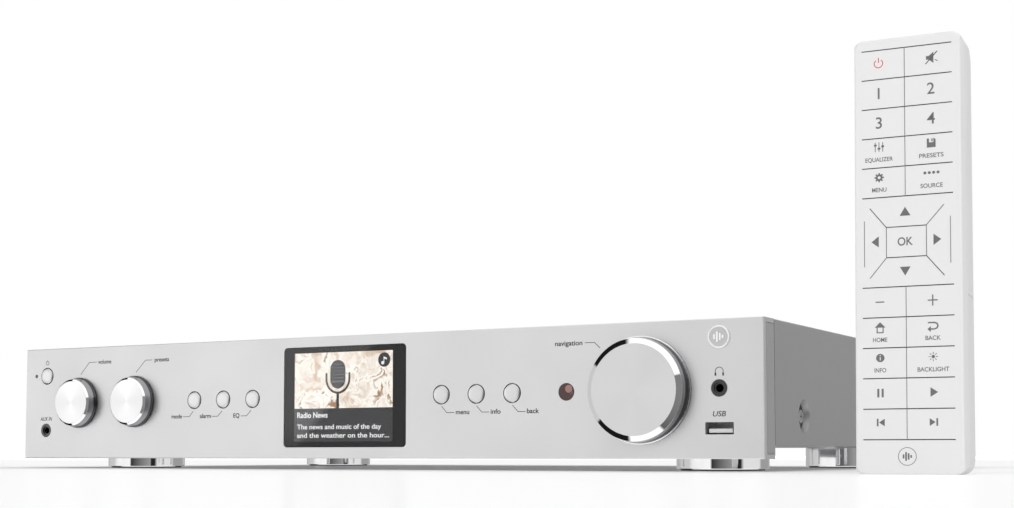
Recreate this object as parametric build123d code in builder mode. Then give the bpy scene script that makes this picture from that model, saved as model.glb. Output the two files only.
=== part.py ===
"""Mini hi-fi tuner with its remote control, as an assembly of separate pieces.

Frame: millimetres, +Z up, the front panel faces -Y and +X is to the right of it.
The origin lies on the surface that the unit stands on, in the middle of its case.
"""
from build123d import *
import os
from math import cos, radians, sin, tan

os.makedirs("parts", exist_ok=True)

# ---------------------------------------------------------------- driving dimensions
UNIT_WIDTH = 430.0
CASE_DEPTH = 290.0
PANEL_HEIGHT = 60.0
PANEL_CLEARANCE = 5.4      # from the floor to the panel's lower edge
CASE_LIFT = 6.0            # the case's underside is this much above the panel's lower edge

PANEL_WEB = 3.0            # front wall of the extruded panel
PANEL_FLANGE = 2.0         # its upper and lower flanges
PANEL_DEPTH = 12.9         # front to back over the flanges
FRAME_DEPTH = 13.0         # back of the plastic frame inside the panel
COVER_START = 13.5         # where the cover begins, behind a half-millimetre seam
COVER_SHEET = 1.0
TRAY_SHEET = 1.2

FRONT = -CASE_DEPTH / 2
REAR = CASE_DEPTH / 2
PANEL_BOTTOM = PANEL_CLEARANCE
PANEL_TOP = PANEL_BOTTOM + PANEL_HEIGHT
CONTROL_Z = PANEL_BOTTOM + 30.0
CASE_BOTTOM = PANEL_BOTTOM + CASE_LIFT
SIDE = UNIT_WIDTH / 2

BOARD_FRONT = 11.0         # front face of the control board, behind the panel's face
BOARD_SHEET = 1.6
BUTTON_TRAVEL = 0.5
KNOB_GAP = 0.6             # between a knob and the panel, more than a knob's push of 0.4
SHAFT_R = 3.0
SHAFT_BORE_R = 3.05
KNOB_BORE_R = 3.02

BUTTON_R = 4.2
BUTTON_HOLE_R = 4.65
BUTTON_PLACES = {
    "power": (-199.0, PANEL_BOTTOM + 45.0),
    "mode": (-94.0, CONTROL_Z),
    "alarm": (-75.0, CONTROL_Z),
    "eq": (-56.0, CONTROL_Z),
    "menu": (56.0, CONTROL_Z),
    "info": (75.0, CONTROL_Z),
    "back": (94.0, CONTROL_Z),
}
VOLUME_X, PRESETS_X, NAVIGATION_X = -175.0, -135.0, 158.3
AUX_PLACE = (-199.2, PANEL_BOTTOM + 15.2)
HEADPHONE_PLACE = (194.9, PANEL_BOTTOM + 30.2)
USB_PLACE = (194.9, PANEL_BOTTOM + 13.05)
USB_MOUTH = (12.9, 5.2)
BADGE_PLACE = (195.0, PANEL_BOTTOM + 52.1)
IR_PLACE = (121.9, CONTROL_Z)
LIGHT_PLACE = (-207.1, PANEL_BOTTOM + 45.1)

WINDOW_Z = PANEL_BOTTOM + 30.2
WINDOW_SIZE = (72.3, 49.4)
WINDOW_LEDGE = (66.0, 46.4)
WINDOW_RECESS = 0.1
WINDOW_GLASS = 1.5
DISPLAY_Z = PANEL_BOTTOM + 30.1

FOOT_R = 21.3
FOOT_X = 175.2
FOOT_Y = (FRONT + 54.2, FRONT + 242.2)
FOOT_PLACES = [(x, y) for x in (-FOOT_X, FOOT_X) for y in FOOT_Y]
DISH_Y = (FRONT + 52.2, REAR - 39.0)
DISH_Z = PANEL_BOTTOM + 19.0
TRAY_SIDE = SIDE - 4.0     # outer faces of the tray's side flanges
DISH_FLOOR = SIDE - 3.0    # bottom of the pressed dish that takes the side screw

BOARD_Z = CASE_BOTTOM + TRAY_SHEET + 6.0
MAIN_BOARD = (87.5, 63.0, 195.0, 156.0)       # centre x, centre y, size x, size y
POWER_BOARD = (-150.0, 62.0, 108.0, 116.0)
BOARD_TOP = BOARD_Z + BOARD_SHEET
REAR_INNER = REAR - COVER_SHEET - TRAY_SHEET
REAR_OUTER = REAR - COVER_SHEET

RCA_X, RCA_PITCH_X, RCA_PITCH_Z = 20.0, 14.0, 15.0
RCA_R, RCA_NECK_R = 4.15, 3.7
RCA_REACH = REAR + 8.5
BARREL_START = REAR_OUTER + 0.1    # a socket's full barrel starts just clear of the rear sheet
OPTICAL_X = (72.0, 90.0)
NETWORK_X = 122.0
ANTENNA_X = 158.0
ANTENNA_R, ANTENNA_NECK_R = 4.7, 4.3
ANTENNA_REACH = REAR + 9.0
INLET_X = -185.0
SWITCH_X = -148.0
SOCKET_Z = BOARD_TOP + 9.0

REMOTE_FOOT = (288.9, FRONT - 52.3, 0.0)      # middle of the face's lower edge
REMOTE_TURN = radians(2.66)                   # turned towards +X
REMOTE_LEAN = radians(2.4)                    # leaning back
REMOTE_LENGTH = 164.5
REMOTE_THICKNESS = 22.5
REMOTE_WALL = 1.6
REMOTE_FACE_HALF, REMOTE_HALF = 19.45, 20.55
REMOTE_SIDE_END = 17.0     # depth at which the flat sides start to round into the back
REMOTE_BACK_CORNER = 4.0   # width of that rounding
REMOTE_TAIL = (9.0, 26.0)  # depth and height at which the back's lower curve ends and starts
REMOTE_HEAD = (6.0, 138.0)  # depth and height at which its upper curve ends and starts
REMOTE_CORNER_R = 4.2      # corners of the face
REMOTE_SKIN = 1.2
SKIN_BEVEL = 0.45          # 45 degree bevel round the keypad's face
REMOTE_SEAM = 5.5          # depth of the seam between the two shells
REMOTE_SPLIT = 66.4        # height of the battery cover's upper edge
KEY_PITCH = 11.34
KEY_BASE = 12.74           # height of the lowest line on the keypad


# ---------------------------------------------------------------- helpers
def save(piece, name):
    piece.part.label = name
    export_step(piece.part, f"parts/{name}.step")


def facing(depth):
    """A plane parallel to the panel, depth behind its face, with x to the right and y up."""
    return Plane(origin=(0, FRONT + depth, 0), x_dir=(1, 0, 0), z_dir=(0, -1, 0))


def turned(places, outline):
    """Solids of revolution on lines along Y; outline lists (radius, depth behind the panel's face)."""
    with BuildPart() as piece:
        for x, z in places:
            with BuildSketch(Plane(origin=(x, FRONT, z), x_dir=(1, 0, 0), z_dir=(0, 0, 1))):
                with BuildLine():
                    Polyline(*outline, close=True)
                make_face()
            revolve(axis=Axis((x, FRONT, z), (0, 1, 0)))
    return piece


def spun_upright(places, outline):
    """Solids of revolution on vertical lines; outline lists (radius, height)."""
    with BuildPart() as piece:
        for x, y in places:
            with BuildSketch(Plane(origin=(x, y, 0), x_dir=(1, 0, 0), z_dir=(0, -1, 0))):
                with BuildLine():
                    Polyline(*outline, close=True)
                make_face()
            revolve(axis=Axis((x, y, 0), (0, 0, 1)))
    return piece


def block(low, high, mode=Mode.ADD):
    """A box between two corners, joined to the part being built."""
    size = [b - a for a, b in zip(low, high)]
    middle = tuple((a + b) / 2 for a, b in zip(low, high))
    with Locations(middle):
        Box(*size, mode=mode)


# ---------------------------------------------------------------- front panel
with BuildPart() as front_panel:
    with BuildSketch(facing(PANEL_WEB)):
        with Locations((0, CONTROL_Z)):
            Rectangle(UNIT_WIDTH, PANEL_HEIGHT)
    extrude(amount=PANEL_WEB)
    chamfer(front_panel.faces().sort_by(Axis.Y)[0].edges(), 0.35)
    with BuildSketch(facing(PANEL_DEPTH)):
        for z in (PANEL_BOTTOM + PANEL_FLANGE / 2, PANEL_TOP - PANEL_FLANGE / 2):
            with Locations((0, z)):
                Rectangle(UNIT_WIDTH, PANEL_FLANGE)
    extrude(amount=PANEL_DEPTH - PANEL_WEB)
    with BuildSketch(facing(PANEL_WEB)):
        with Locations(*BUTTON_PLACES.values()):
            Circle(BUTTON_HOLE_R)
        with Locations(*[(x, CONTROL_Z) for x in (VOLUME_X, PRESETS_X, NAVIGATION_X)]):
            Circle(3.6)
        with Locations(AUX_PLACE, HEADPHONE_PLACE):
            Circle(3.75)
        with Locations(IR_PLACE):
            Circle(4.0)
        with Locations(LIGHT_PLACE):
            Circle(1.0)
        with Locations(USB_PLACE):
            RectangleRounded(*USB_MOUTH, 0.3)
        with Locations((0, WINDOW_Z)):
            RectangleRounded(*WINDOW_LEDGE, 1.0)
    extrude(amount=PANEL_WEB, mode=Mode.SUBTRACT)
    with BuildSketch(facing(WINDOW_RECESS + WINDOW_GLASS)):
        with Locations((0, WINDOW_Z)):
            RectangleRounded(WINDOW_SIZE[0] + 0.2, WINDOW_SIZE[1] + 0.2, 2.1)
    extrude(amount=WINDOW_RECESS + WINDOW_GLASS, mode=Mode.SUBTRACT)
save(front_panel, "front_panel")

# plastic frame inside the panel's channel: it carries the control board on twelve lugs
FRAME_WALL_Z, FRAME_WALL_X = 3.5, 5.0
FRAME_HEIGHT = PANEL_HEIGHT - 2 * PANEL_FLANGE
LUG_X = (-155.0, -110.0, -48.0, 48.0, 110.0, 178.0)
LUG_SIZE, LUG_DEPTH = (8.0, 7.5), 6.0
LUG_Z = (PANEL_BOTTOM + PANEL_FLANGE + FRAME_WALL_Z + LUG_SIZE[1] / 2,
         PANEL_TOP - PANEL_FLANGE - FRAME_WALL_Z - LUG_SIZE[1] / 2)
LUG_PLACES = [(x, z) for x in LUG_X for z in LUG_Z]
FRAME_SCREW_PLACES = [(x, PANEL_BOTTOM + PANEL_FLANGE + FRAME_WALL_Z / 2)
                      for x in (-150.0, -60.0, 60.0, 150.0)]
with BuildPart() as front_frame:
    with BuildSketch(facing(FRAME_DEPTH)):
        with Locations((0, CONTROL_Z)):
            Rectangle(UNIT_WIDTH, FRAME_HEIGHT)
            Rectangle(UNIT_WIDTH - 2 * FRAME_WALL_X, FRAME_HEIGHT - 2 * FRAME_WALL_Z,
                      mode=Mode.SUBTRACT)
    extrude(amount=FRAME_DEPTH - PANEL_WEB)
    with BuildSketch(facing(BOARD_FRONT)):
        with Locations(*LUG_PLACES):
            Rectangle(*LUG_SIZE)
    extrude(amount=LUG_DEPTH)
    with BuildSketch(facing(FRAME_DEPTH + 5)):
        with Locations((0, PANEL_TOP - COVER_SHEET - 0.2 - 1.0)):
            Rectangle(400, 2.0)
    extrude(amount=5)
    with BuildSketch(facing(BOARD_FRONT)):
        with Locations(*LUG_PLACES):
            Circle(1.0)
    extrude(amount=5, mode=Mode.SUBTRACT)
    with BuildSketch(facing(FRAME_DEPTH)):
        with Locations(*FRAME_SCREW_PLACES):
            Circle(1.1)
    extrude(amount=7, mode=Mode.SUBTRACT)
save(front_frame, "front_frame")

# ---------------------------------------------------------------- display
with BuildPart() as display_window:
    with BuildSketch(facing(WINDOW_RECESS + WINDOW_GLASS)):
        with Locations((0, WINDOW_Z)):
            RectangleRounded(*WINDOW_SIZE, 2.0)
    extrude(amount=WINDOW_GLASS)
    chamfer(display_window.faces().sort_by(Axis.Y)[0].edges(), 0.15)
save(display_window, "display_window")

with BuildPart() as display_module:
    with BuildSketch(facing(6.1)):
        with Locations((0, DISPLAY_Z)):
            RectangleRounded(69.2, 48.2, 0.8)
    extrude(amount=3.0)
    with BuildSketch(facing(3.4)):
        with Locations((-0.6, DISPLAY_Z)):
            Rectangle(59.0, 44.4)
    extrude(amount=0.3, mode=Mode.SUBTRACT)
    with BuildSketch(facing(10.9)):
        with Locations(*[(x, DISPLAY_Z + z) for x in (-32, 32) for z in (-21.5, 21.5)]):
            Circle(1.2)
    extrude(amount=4.8)
save(display_module, "display_module")

# ---------------------------------------------------------------- small pieces in the panel
badge = turned([BADGE_PLACE], [(0, 0), (4.95, 0), (4.95, -0.6), (4.75, -0.8), (4.35, -0.8),
                               (4.2, -0.55), (0, -0.55)])
save(badge, "badge")

ir_window = turned([IR_PLACE], [(0, 0.05), (3.95, 0.05), (3.95, 3.05), (5.0, 3.05), (5.0, 4.0),
                                (0, 4.0)])
save(ir_window, "ir_window")

status_light = turned([LIGHT_PLACE], [(0, -0.1), (0.7, -0.1), (0.95, 0.1), (0.95, 9.0), (0, 9.0)])
save(status_light, "status_light")

JACK_BORE_R = 1.8
JACK_BORE_END = 14.8


def audio_jack(place):
    """A 3.5 mm jack: round nose in the panel, square body on the board, tail through it."""
    with BuildPart() as jack:
        with BuildSketch(facing(BOARD_FRONT)):
            with Locations(place):
                RectangleRounded(11.8, 8.4, 0.5)
        extrude(amount=BOARD_FRONT - 3.1)
        with BuildSketch(facing(3.2)):
            with Locations(place):
                Circle(3.65)
        extrude(amount=3.15)
        with BuildSketch(facing(15.5)):
            with Locations(place):
                Circle(2.8)
        extrude(amount=4.6)
        with BuildSketch(facing(JACK_BORE_END)):
            with Locations(place):
                Circle(JACK_BORE_R)
        extrude(amount=JACK_BORE_END, mode=Mode.SUBTRACT)
        with BuildSketch(facing(0.7)):
            with Locations(place):
                Circle(2.5)
        extrude(amount=0.7, mode=Mode.SUBTRACT)
    return jack


aux_in_jack = audio_jack(AUX_PLACE)
save(aux_in_jack, "aux_in_jack")
headphone_jack = audio_jack(HEADPHONE_PLACE)
save(headphone_jack, "headphone_jack")

USB_SHELL = 0.6
USB_BACK = 15.5
with BuildPart() as usb_port:
    with BuildSketch(facing(USB_BACK)):
        with Locations(USB_PLACE):
            RectangleRounded(USB_MOUTH[0] + 2 * USB_SHELL, USB_MOUTH[1] + 2 * USB_SHELL, 0.7)
            RectangleRounded(*USB_MOUTH, 0.3, mode=Mode.SUBTRACT)
    extrude(amount=USB_BACK - 3.05)
save(usb_port, "usb_port")

with BuildPart() as usb_tongue:
    with BuildSketch(facing(USB_BACK - 0.1)):
        with Locations(USB_PLACE):
            RectangleRounded(USB_MOUTH[0] - 0.1, USB_MOUTH[1] - 0.1, 0.25)
    extrude(amount=1.9)
    with BuildSketch(facing(USB_BACK - 2)):
        with Locations((USB_PLACE[0], USB_PLACE[1] - 1.0)):
            Rectangle(10.6, 1.7)
    extrude(amount=USB_BACK - 2 - 1.6)
save(usb_tongue, "usb_tongue")

# ---------------------------------------------------------------- control board
with BuildPart() as front_board:
    with BuildSketch(facing(BOARD_FRONT + BOARD_SHEET)):
        with Locations((0, CONTROL_Z)):
            RectangleRounded(418.8, 48.0, 1.5)
        with Locations(AUX_PLACE, HEADPHONE_PLACE):
            Circle(3.0, mode=Mode.SUBTRACT)
        with Locations(USB_PLACE):
            Rectangle(USB_MOUTH[0] + 1.6, USB_MOUTH[1] + 1.6, mode=Mode.SUBTRACT)
        with Locations(*LUG_PLACES):
            Circle(1.25, mode=Mode.SUBTRACT)
    extrude(amount=BOARD_SHEET)
save(front_board, "front_board")

TACT_TIP = BUTTON_TRAVEL + 6.0
with BuildPart() as tact_switches:
    with BuildSketch(facing(BOARD_FRONT)):
        with Locations(*BUTTON_PLACES.values()):
            RectangleRounded(6.0, 6.0, 0.4)
    extrude(amount=3.5)
    with BuildSketch(facing(BOARD_FRONT - 3.4)):
        with Locations(*BUTTON_PLACES.values()):
            Circle(1.75)
    extrude(amount=BOARD_FRONT - 3.4 - TACT_TIP)
save(tact_switches, "tact_switches")

ENCODERS = ((VOLUME_X, 12.0), (PRESETS_X, 12.0), (NAVIGATION_X, 14.0))
ENCODER_FACE = 4.5
with BuildPart() as rotary_encoders:
    for x, width in ENCODERS:
        with BuildSketch(facing(BOARD_FRONT)):
            with Locations((x, CONTROL_Z)):
                RectangleRounded(width, width, 0.6)
        extrude(amount=BOARD_FRONT - ENCODER_FACE)
    with BuildSketch(facing(ENCODER_FACE + 0.1)):
        with Locations(*[(x, CONTROL_Z) for x, width in ENCODERS]):
            Circle(3.4)
    extrude(amount=ENCODER_FACE - 0.1)
    with BuildSketch(facing(10.6)):
        with Locations(*[(x, CONTROL_Z) for x, width in ENCODERS]):
            Circle(4.2)
    extrude(amount=4.6, mode=Mode.SUBTRACT)
    with BuildSketch(facing(6.1)):
        with Locations(*[(x, CONTROL_Z) for x, width in ENCODERS]):
            Circle(SHAFT_BORE_R)
    extrude(amount=6.2, mode=Mode.SUBTRACT)
save(rotary_encoders, "rotary_encoders")

# ---------------------------------------------------------------- knobs, shafts and plungers
SMALL_KNOB = [(KNOB_BORE_R, -KNOB_GAP), (KNOB_BORE_R, -4.0), (0, -4.0), (0, -6.3), (11.4, -6.3),
              (12.45, -5.4), (13.05, -2.2), (13.6, -1.1), (13.6, -KNOB_GAP), (12.0, -KNOB_GAP),
              (11.0, -4.2), (5.2, -4.2), (5.2, -KNOB_GAP)]
LARGE_KNOB = [(KNOB_BORE_R, -KNOB_GAP), (KNOB_BORE_R, -5.2), (0, -5.2), (0, -7.9), (20.1, -7.9),
              (22.5, -6.7), (23.3, -1.4), (23.3, -1.2), (23.8, -1.2), (23.8, -KNOB_GAP),
              (21.5, -KNOB_GAP), (20.4, -5.6), (5.5, -5.6), (5.5, -KNOB_GAP)]


def knob_shaft(x, outer_end, inner_end):
    """A plain shaft with the collar that keeps it inside its encoder."""
    return turned([(x, CONTROL_Z)], [(0, outer_end), (SHAFT_R, outer_end), (SHAFT_R, 6.3),
                                     (3.9, 6.3), (3.9, 7.3), (2.5, 7.3), (2.5, inner_end),
                                     (0, inner_end)])


def push_plunger(x):
    """The disc behind a shaft that works the push switch."""
    return turned([(x, CONTROL_Z)], [(0, 8.5), (3.6, 8.5), (3.6, 9.7), (1.2, 9.7), (1.2, 10.1),
                                     (0, 10.1)])


volume_knob = turned([(VOLUME_X, CONTROL_Z)], SMALL_KNOB)
save(volume_knob, "volume_knob")
volume_shaft = knob_shaft(VOLUME_X, -3.95, 10.4)
save(volume_shaft, "volume_shaft")
presets_knob = turned([(PRESETS_X, CONTROL_Z)], SMALL_KNOB)
save(presets_knob, "presets_knob")
presets_shaft = knob_shaft(PRESETS_X, -3.95, 8.4)
save(presets_shaft, "presets_shaft")
presets_plunger = push_plunger(PRESETS_X)
save(presets_plunger, "presets_plunger")
navigation_knob = turned([(NAVIGATION_X, CONTROL_Z)], LARGE_KNOB)
save(navigation_knob, "navigation_knob")
navigation_shaft = knob_shaft(NAVIGATION_X, -5.15, 8.4)
save(navigation_shaft, "navigation_shaft")
navigation_plunger = push_plunger(NAVIGATION_X)
save(navigation_plunger, "navigation_plunger")

# ---------------------------------------------------------------- buttons
BUTTON_FLANGE = PANEL_WEB + 0.05
BUTTON_OUTLINE = [(0, -0.6), (BUTTON_R - 0.4, -0.6), (BUTTON_R, -0.2), (BUTTON_R, BUTTON_FLANGE),
                  (5.4, BUTTON_FLANGE), (5.4, BUTTON_FLANGE + 1), (1.5, BUTTON_FLANGE + 1),
                  (1.5, TACT_TIP - BUTTON_TRAVEL - 0.05), (0, TACT_TIP - BUTTON_TRAVEL - 0.05)]
for name, place in BUTTON_PLACES.items():
    button = turned([place], BUTTON_OUTLINE)
    save(button, f"{name}_button")

# ---------------------------------------------------------------- case
FRAME_BACK = FRONT + FRAME_DEPTH
TRAY_TOP = CASE_BOTTOM + TRAY_SHEET
SCREW_TAB_X = (-190.0, -70.0, 70.0, 190.0)
REAR_TAB_Y = REAR_INNER - 6.0
with BuildPart() as bottom_tray:
    block((-TRAY_SIDE, FRAME_BACK, CASE_BOTTOM), (TRAY_SIDE, REAR_INNER, TRAY_TOP))
    for side in (-1, 1):
        x = sorted((side * TRAY_SIDE, side * (TRAY_SIDE - TRAY_SHEET)))
        block((x[0], FRAME_BACK + 6, CASE_BOTTOM), (x[1], REAR_INNER, TRAY_TOP + 18))
    block((-200, FRAME_BACK, PANEL_BOTTOM + PANEL_FLANGE + 0.2),
          (200, FRAME_BACK + TRAY_SHEET, TRAY_TOP))
    with BuildSketch(Plane.XY.offset(CASE_BOTTOM)):
        with Locations(*FOOT_PLACES):
            Circle(2.05)
        with Locations(*[(x, REAR_TAB_Y) for x in SCREW_TAB_X]):
            Circle(1.5)
    extrude(amount=TRAY_SHEET, mode=Mode.SUBTRACT)
    with BuildSketch(facing(FRAME_DEPTH + TRAY_SHEET)):
        with Locations(*FRAME_SCREW_PLACES):
            Circle(1.5)
    extrude(amount=TRAY_SHEET, mode=Mode.SUBTRACT)
    with BuildSketch(Plane.YZ.offset(-SIDE)):
        with Locations(*[(y, DISH_Z) for y in DISH_Y]):
            Circle(1.55)
    extrude(amount=UNIT_WIDTH, mode=Mode.SUBTRACT)
save(bottom_tray, "bottom_tray")

VENT_PLACES = [(x, y) for x in [-184 + 9.0 * i for i in range(12)] for y in (45.0, 85.0)]
COVER_FRONT = FRONT + COVER_START
with BuildPart() as top_cover:
    with BuildSketch(Plane.XZ.offset(-COVER_FRONT)):
        with Locations((0, (CASE_BOTTOM + PANEL_TOP) / 2)):
            Rectangle(UNIT_WIDTH, PANEL_TOP - CASE_BOTTOM)
        inner_width = UNIT_WIDTH - 2 * COVER_SHEET
        with Locations((0, (CASE_BOTTOM + PANEL_TOP - COVER_SHEET) / 2)):
            Rectangle(inner_width, PANEL_TOP - COVER_SHEET - CASE_BOTTOM, mode=Mode.SUBTRACT)
    extrude(amount=-(REAR - COVER_FRONT))
    fillet(top_cover.edges().filter_by(Axis.Y).group_by(Axis.Z)[-1], 0.6)
    lip_inner = TRAY_SIDE + 0.1
    for side in (-1, 1):
        x = sorted((side * lip_inner, side * (SIDE - 0.5)))
        block((x[0], COVER_FRONT, CASE_BOTTOM), (x[1], REAR_INNER - 0.2, CASE_BOTTOM + 1))
    block((-SIDE + 0.5, REAR_OUTER, PANEL_TOP - 11), (SIDE - 0.5, REAR, PANEL_TOP - 0.5))
    for side in (-1, 1):
        for y in DISH_Y:
            with BuildSketch(Plane.YZ.offset(side * SIDE)):
                with Locations((y, DISH_Z)):
                    Circle(8.2)
            extrude(amount=-side * COVER_SHEET, mode=Mode.SUBTRACT)
            with BuildSketch(Plane(origin=(0, y, DISH_Z), x_dir=(0, 1, 0), z_dir=(0, 0, 1))):
                with BuildLine():
                    Polyline(*[(r, -side * x) for r, x in (
                        (1.6, DISH_FLOOR), (6.5, DISH_FLOOR), (7.6, SIDE), (9.0, SIDE),
                        (9.0, SIDE - COVER_SHEET), (8.3, SIDE - COVER_SHEET),
                        (7.3, DISH_FLOOR - COVER_SHEET), (1.6, DISH_FLOOR - COVER_SHEET))],
                        close=True)
                make_face()
            revolve(axis=Axis((0, y, DISH_Z), (1, 0, 0)))
    with BuildSketch(Plane.XY.offset(PANEL_TOP - COVER_SHEET)):
        with Locations(*VENT_PLACES):
            SlotOverall(26, 2.4, rotation=90)
    extrude(amount=COVER_SHEET, mode=Mode.SUBTRACT)
    with BuildSketch(Plane.XZ.offset(-REAR_OUTER)):
        with Locations(*[(x, PANEL_TOP - 6) for x in SCREW_TAB_X]):
            Circle(1.6)
    extrude(amount=-COVER_SHEET, mode=Mode.SUBTRACT)
save(top_cover, "top_cover")

# rear sheet with the socket openings and a foot that is screwed to the tray from below
RCA_PLACES = [(RCA_X + dx * RCA_PITCH_X / 2, BOARD_TOP + 8.0 + row * RCA_PITCH_Z)
              for dx in (-1, 1) for row in (0, 1)]
REAR_SIDE = SIDE - COVER_SHEET - 0.2
SWITCH_Z = CONTROL_Z
INLET_Z = CONTROL_Z
with BuildPart() as rear_panel:
    block((-REAR_SIDE, REAR_INNER, CASE_BOTTOM + 1.2),
          (REAR_SIDE, REAR_OUTER, PANEL_TOP - COVER_SHEET - 0.2))
    block((-205, REAR_INNER - 12, TRAY_TOP), (205, REAR_INNER + 0.6, TRAY_TOP + TRAY_SHEET))
    with BuildSketch(Plane.XZ.offset(-REAR_INNER)):
        with Locations(*RCA_PLACES):
            Circle(4.6)
        with Locations(*[(x, SOCKET_Z) for x in OPTICAL_X]):
            Rectangle(10.4, 10.4)
        with Locations((NETWORK_X, BOARD_TOP + 6.8)):
            Rectangle(16.4, 13.8)
        with Locations((ANTENNA_X, SOCKET_Z)):
            Circle(5.1)
        with Locations((INLET_X, INLET_Z)):
            RectangleRounded(21.2, 14.2, 2.0)
        with Locations((SWITCH_X, SWITCH_Z)):
            Rectangle(13.4, 19.4)
        with Locations(*[(x, PANEL_TOP - 6) for x in SCREW_TAB_X]):
            Circle(1.5)
    extrude(amount=-TRAY_SHEET, mode=Mode.SUBTRACT)
    with BuildSketch(Plane.XY.offset(TRAY_TOP)):
        with Locations(*[(x, REAR_TAB_Y) for x in SCREW_TAB_X]):
            Circle(1.5)
    extrude(amount=TRAY_SHEET, mode=Mode.SUBTRACT)
save(rear_panel, "rear_panel")

# ---------------------------------------------------------------- screws of the case
CROSS_WIDTH, CROSS_LENGTH, CROSS_DEPTH = 0.7, 3.0, 0.9
with BuildPart() as cover_screws:
    for side in (-1, 1):
        for y in DISH_Y:
            with BuildSketch(Plane.YZ.offset(side * DISH_FLOOR)):
                with Locations((y, DISH_Z)):
                    Circle(3.0)
            extrude(amount=side * 1.5)
            with BuildSketch(Plane.YZ.offset(side * DISH_FLOOR)):
                with Locations((y, DISH_Z)):
                    Circle(1.5)
            extrude(amount=-side * 6.0)
            with BuildSketch(Plane.YZ.offset(side * (DISH_FLOOR + 1.5))):
                with Locations((y, DISH_Z)):
                    Rectangle(CROSS_WIDTH, CROSS_LENGTH)
                    Rectangle(CROSS_LENGTH, CROSS_WIDTH)
            extrude(amount=-side * CROSS_DEPTH, mode=Mode.SUBTRACT)
save(cover_screws, "cover_screws")

with BuildPart() as rear_screws:
    for x in SCREW_TAB_X:
        with BuildSketch(Plane.XZ.offset(-REAR)):
            with Locations((x, PANEL_TOP - 6)):
                Circle(3.0)
        extrude(amount=-1.6)
        with BuildSketch(Plane.XZ.offset(-REAR)):
            with Locations((x, PANEL_TOP - 6)):
                Circle(1.45)
        extrude(amount=6.0)
        with BuildSketch(Plane.XZ.offset(-(REAR + 1.6))):
            with Locations((x, PANEL_TOP - 6)):
                Rectangle(CROSS_WIDTH, CROSS_LENGTH)
                Rectangle(CROSS_LENGTH, CROSS_WIDTH)
        extrude(amount=CROSS_DEPTH, mode=Mode.SUBTRACT)
        with BuildSketch(Plane.XY.offset(CASE_BOTTOM)):
            with Locations((x, REAR_TAB_Y)):
                Circle(3.0)
        extrude(amount=-1.6)
        with BuildSketch(Plane.XY.offset(CASE_BOTTOM)):
            with Locations((x, REAR_TAB_Y)):
                Circle(1.45)
        extrude(amount=5.0)
save(rear_screws, "rear_screws")

# ---------------------------------------------------------------- feet
FOOT_PAD_TOP = 2.4
foot_shells = spun_upright(FOOT_PLACES, [
    (2.2, CASE_BOTTOM), (FOOT_R - 0.4, CASE_BOTTOM), (FOOT_R, CASE_BOTTOM - 0.4), (FOOT_R, 1.4),
    (FOOT_R - 0.6, 0.8), (19.6, 0.8), (19.6, FOOT_PAD_TOP), (5.0, FOOT_PAD_TOP), (5.0, 8.4),
    (2.2, 8.4)])
save(foot_shells, "foot_shells")
foot_pads = spun_upright(FOOT_PLACES, [
    (5.0, 0), (19.0, 0), (19.4, 0.4), (19.4, FOOT_PAD_TOP), (5.0, FOOT_PAD_TOP)])
save(foot_pads, "foot_pads")
foot_screws = spun_upright(FOOT_PLACES, [
    (0, 6.2), (3.4, 6.2), (4.2, 7.0), (4.2, 8.4), (2.0, 8.4), (2.0, TRAY_TOP + 3), (0, TRAY_TOP + 3)])
save(foot_screws, "foot_screws")

# ---------------------------------------------------------------- boards
def stand_places(board, inset=6.0):
    x, y, width, depth = board
    return [(x + sx * (width / 2 - inset), y + sy * (depth / 2 - inset - 8))
            for sx in (-1, 1) for sy in (-1, 1)]


STAND_PLACES = stand_places(MAIN_BOARD) + stand_places(POWER_BOARD)


def circuit_board(board):
    x, y, width, depth = board
    with BuildPart() as piece:
        with BuildSketch(Plane.XY.offset(BOARD_Z)):
            with Locations((x, y)):
                RectangleRounded(width, depth, 2.0)
            with Locations(*stand_places(board)):
                Circle(1.7, mode=Mode.SUBTRACT)
        extrude(amount=BOARD_SHEET)
    return piece


main_board = circuit_board(MAIN_BOARD)
save(main_board, "main_board")
power_board = circuit_board(POWER_BOARD)
save(power_board, "power_board")

standoffs = spun_upright(STAND_PLACES, [
    (1.3, TRAY_TOP), (3.0, TRAY_TOP), (3.0, BOARD_Z), (1.3, BOARD_Z)])
save(standoffs, "standoffs")

with BuildPart() as board_screws:
    for x, y in STAND_PLACES:
        with BuildSketch(Plane.XY.offset(BOARD_TOP)):
            with Locations((x, y)):
                Circle(2.7)
        extrude(amount=1.6)
        with BuildSketch(Plane.XY.offset(BOARD_TOP)):
            with Locations((x, y)):
                Circle(1.25)
        extrude(amount=-6.0)
    with BuildSketch(facing(BOARD_FRONT + BOARD_SHEET)):
        with Locations(*LUG_PLACES):
            Circle(2.0)
    extrude(amount=-1.3)
    with BuildSketch(facing(BOARD_FRONT + BOARD_SHEET)):
        with Locations(*LUG_PLACES):
            Circle(0.95)
    extrude(amount=6.0)
    with BuildSketch(facing(FRAME_DEPTH + TRAY_SHEET)):
        with Locations(*FRAME_SCREW_PLACES):
            Circle(2.2)
    extrude(amount=-1.5)
    with BuildSketch(facing(FRAME_DEPTH + TRAY_SHEET)):
        with Locations(*FRAME_SCREW_PLACES):
            Circle(1.05)
    extrude(amount=7.0)
save(board_screws, "board_screws")

with BuildPart() as radio_module:
    block((30, 10, BOARD_TOP), (85, 58, BOARD_TOP + 1.0))
    block((32, 12, BOARD_TOP + 1.0), (76, 56, BOARD_TOP + 5.0))
    block((77.5, 16, BOARD_TOP + 1.0), (82.5, 30, BOARD_TOP + 4.0))
save(radio_module, "radio_module")

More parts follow.
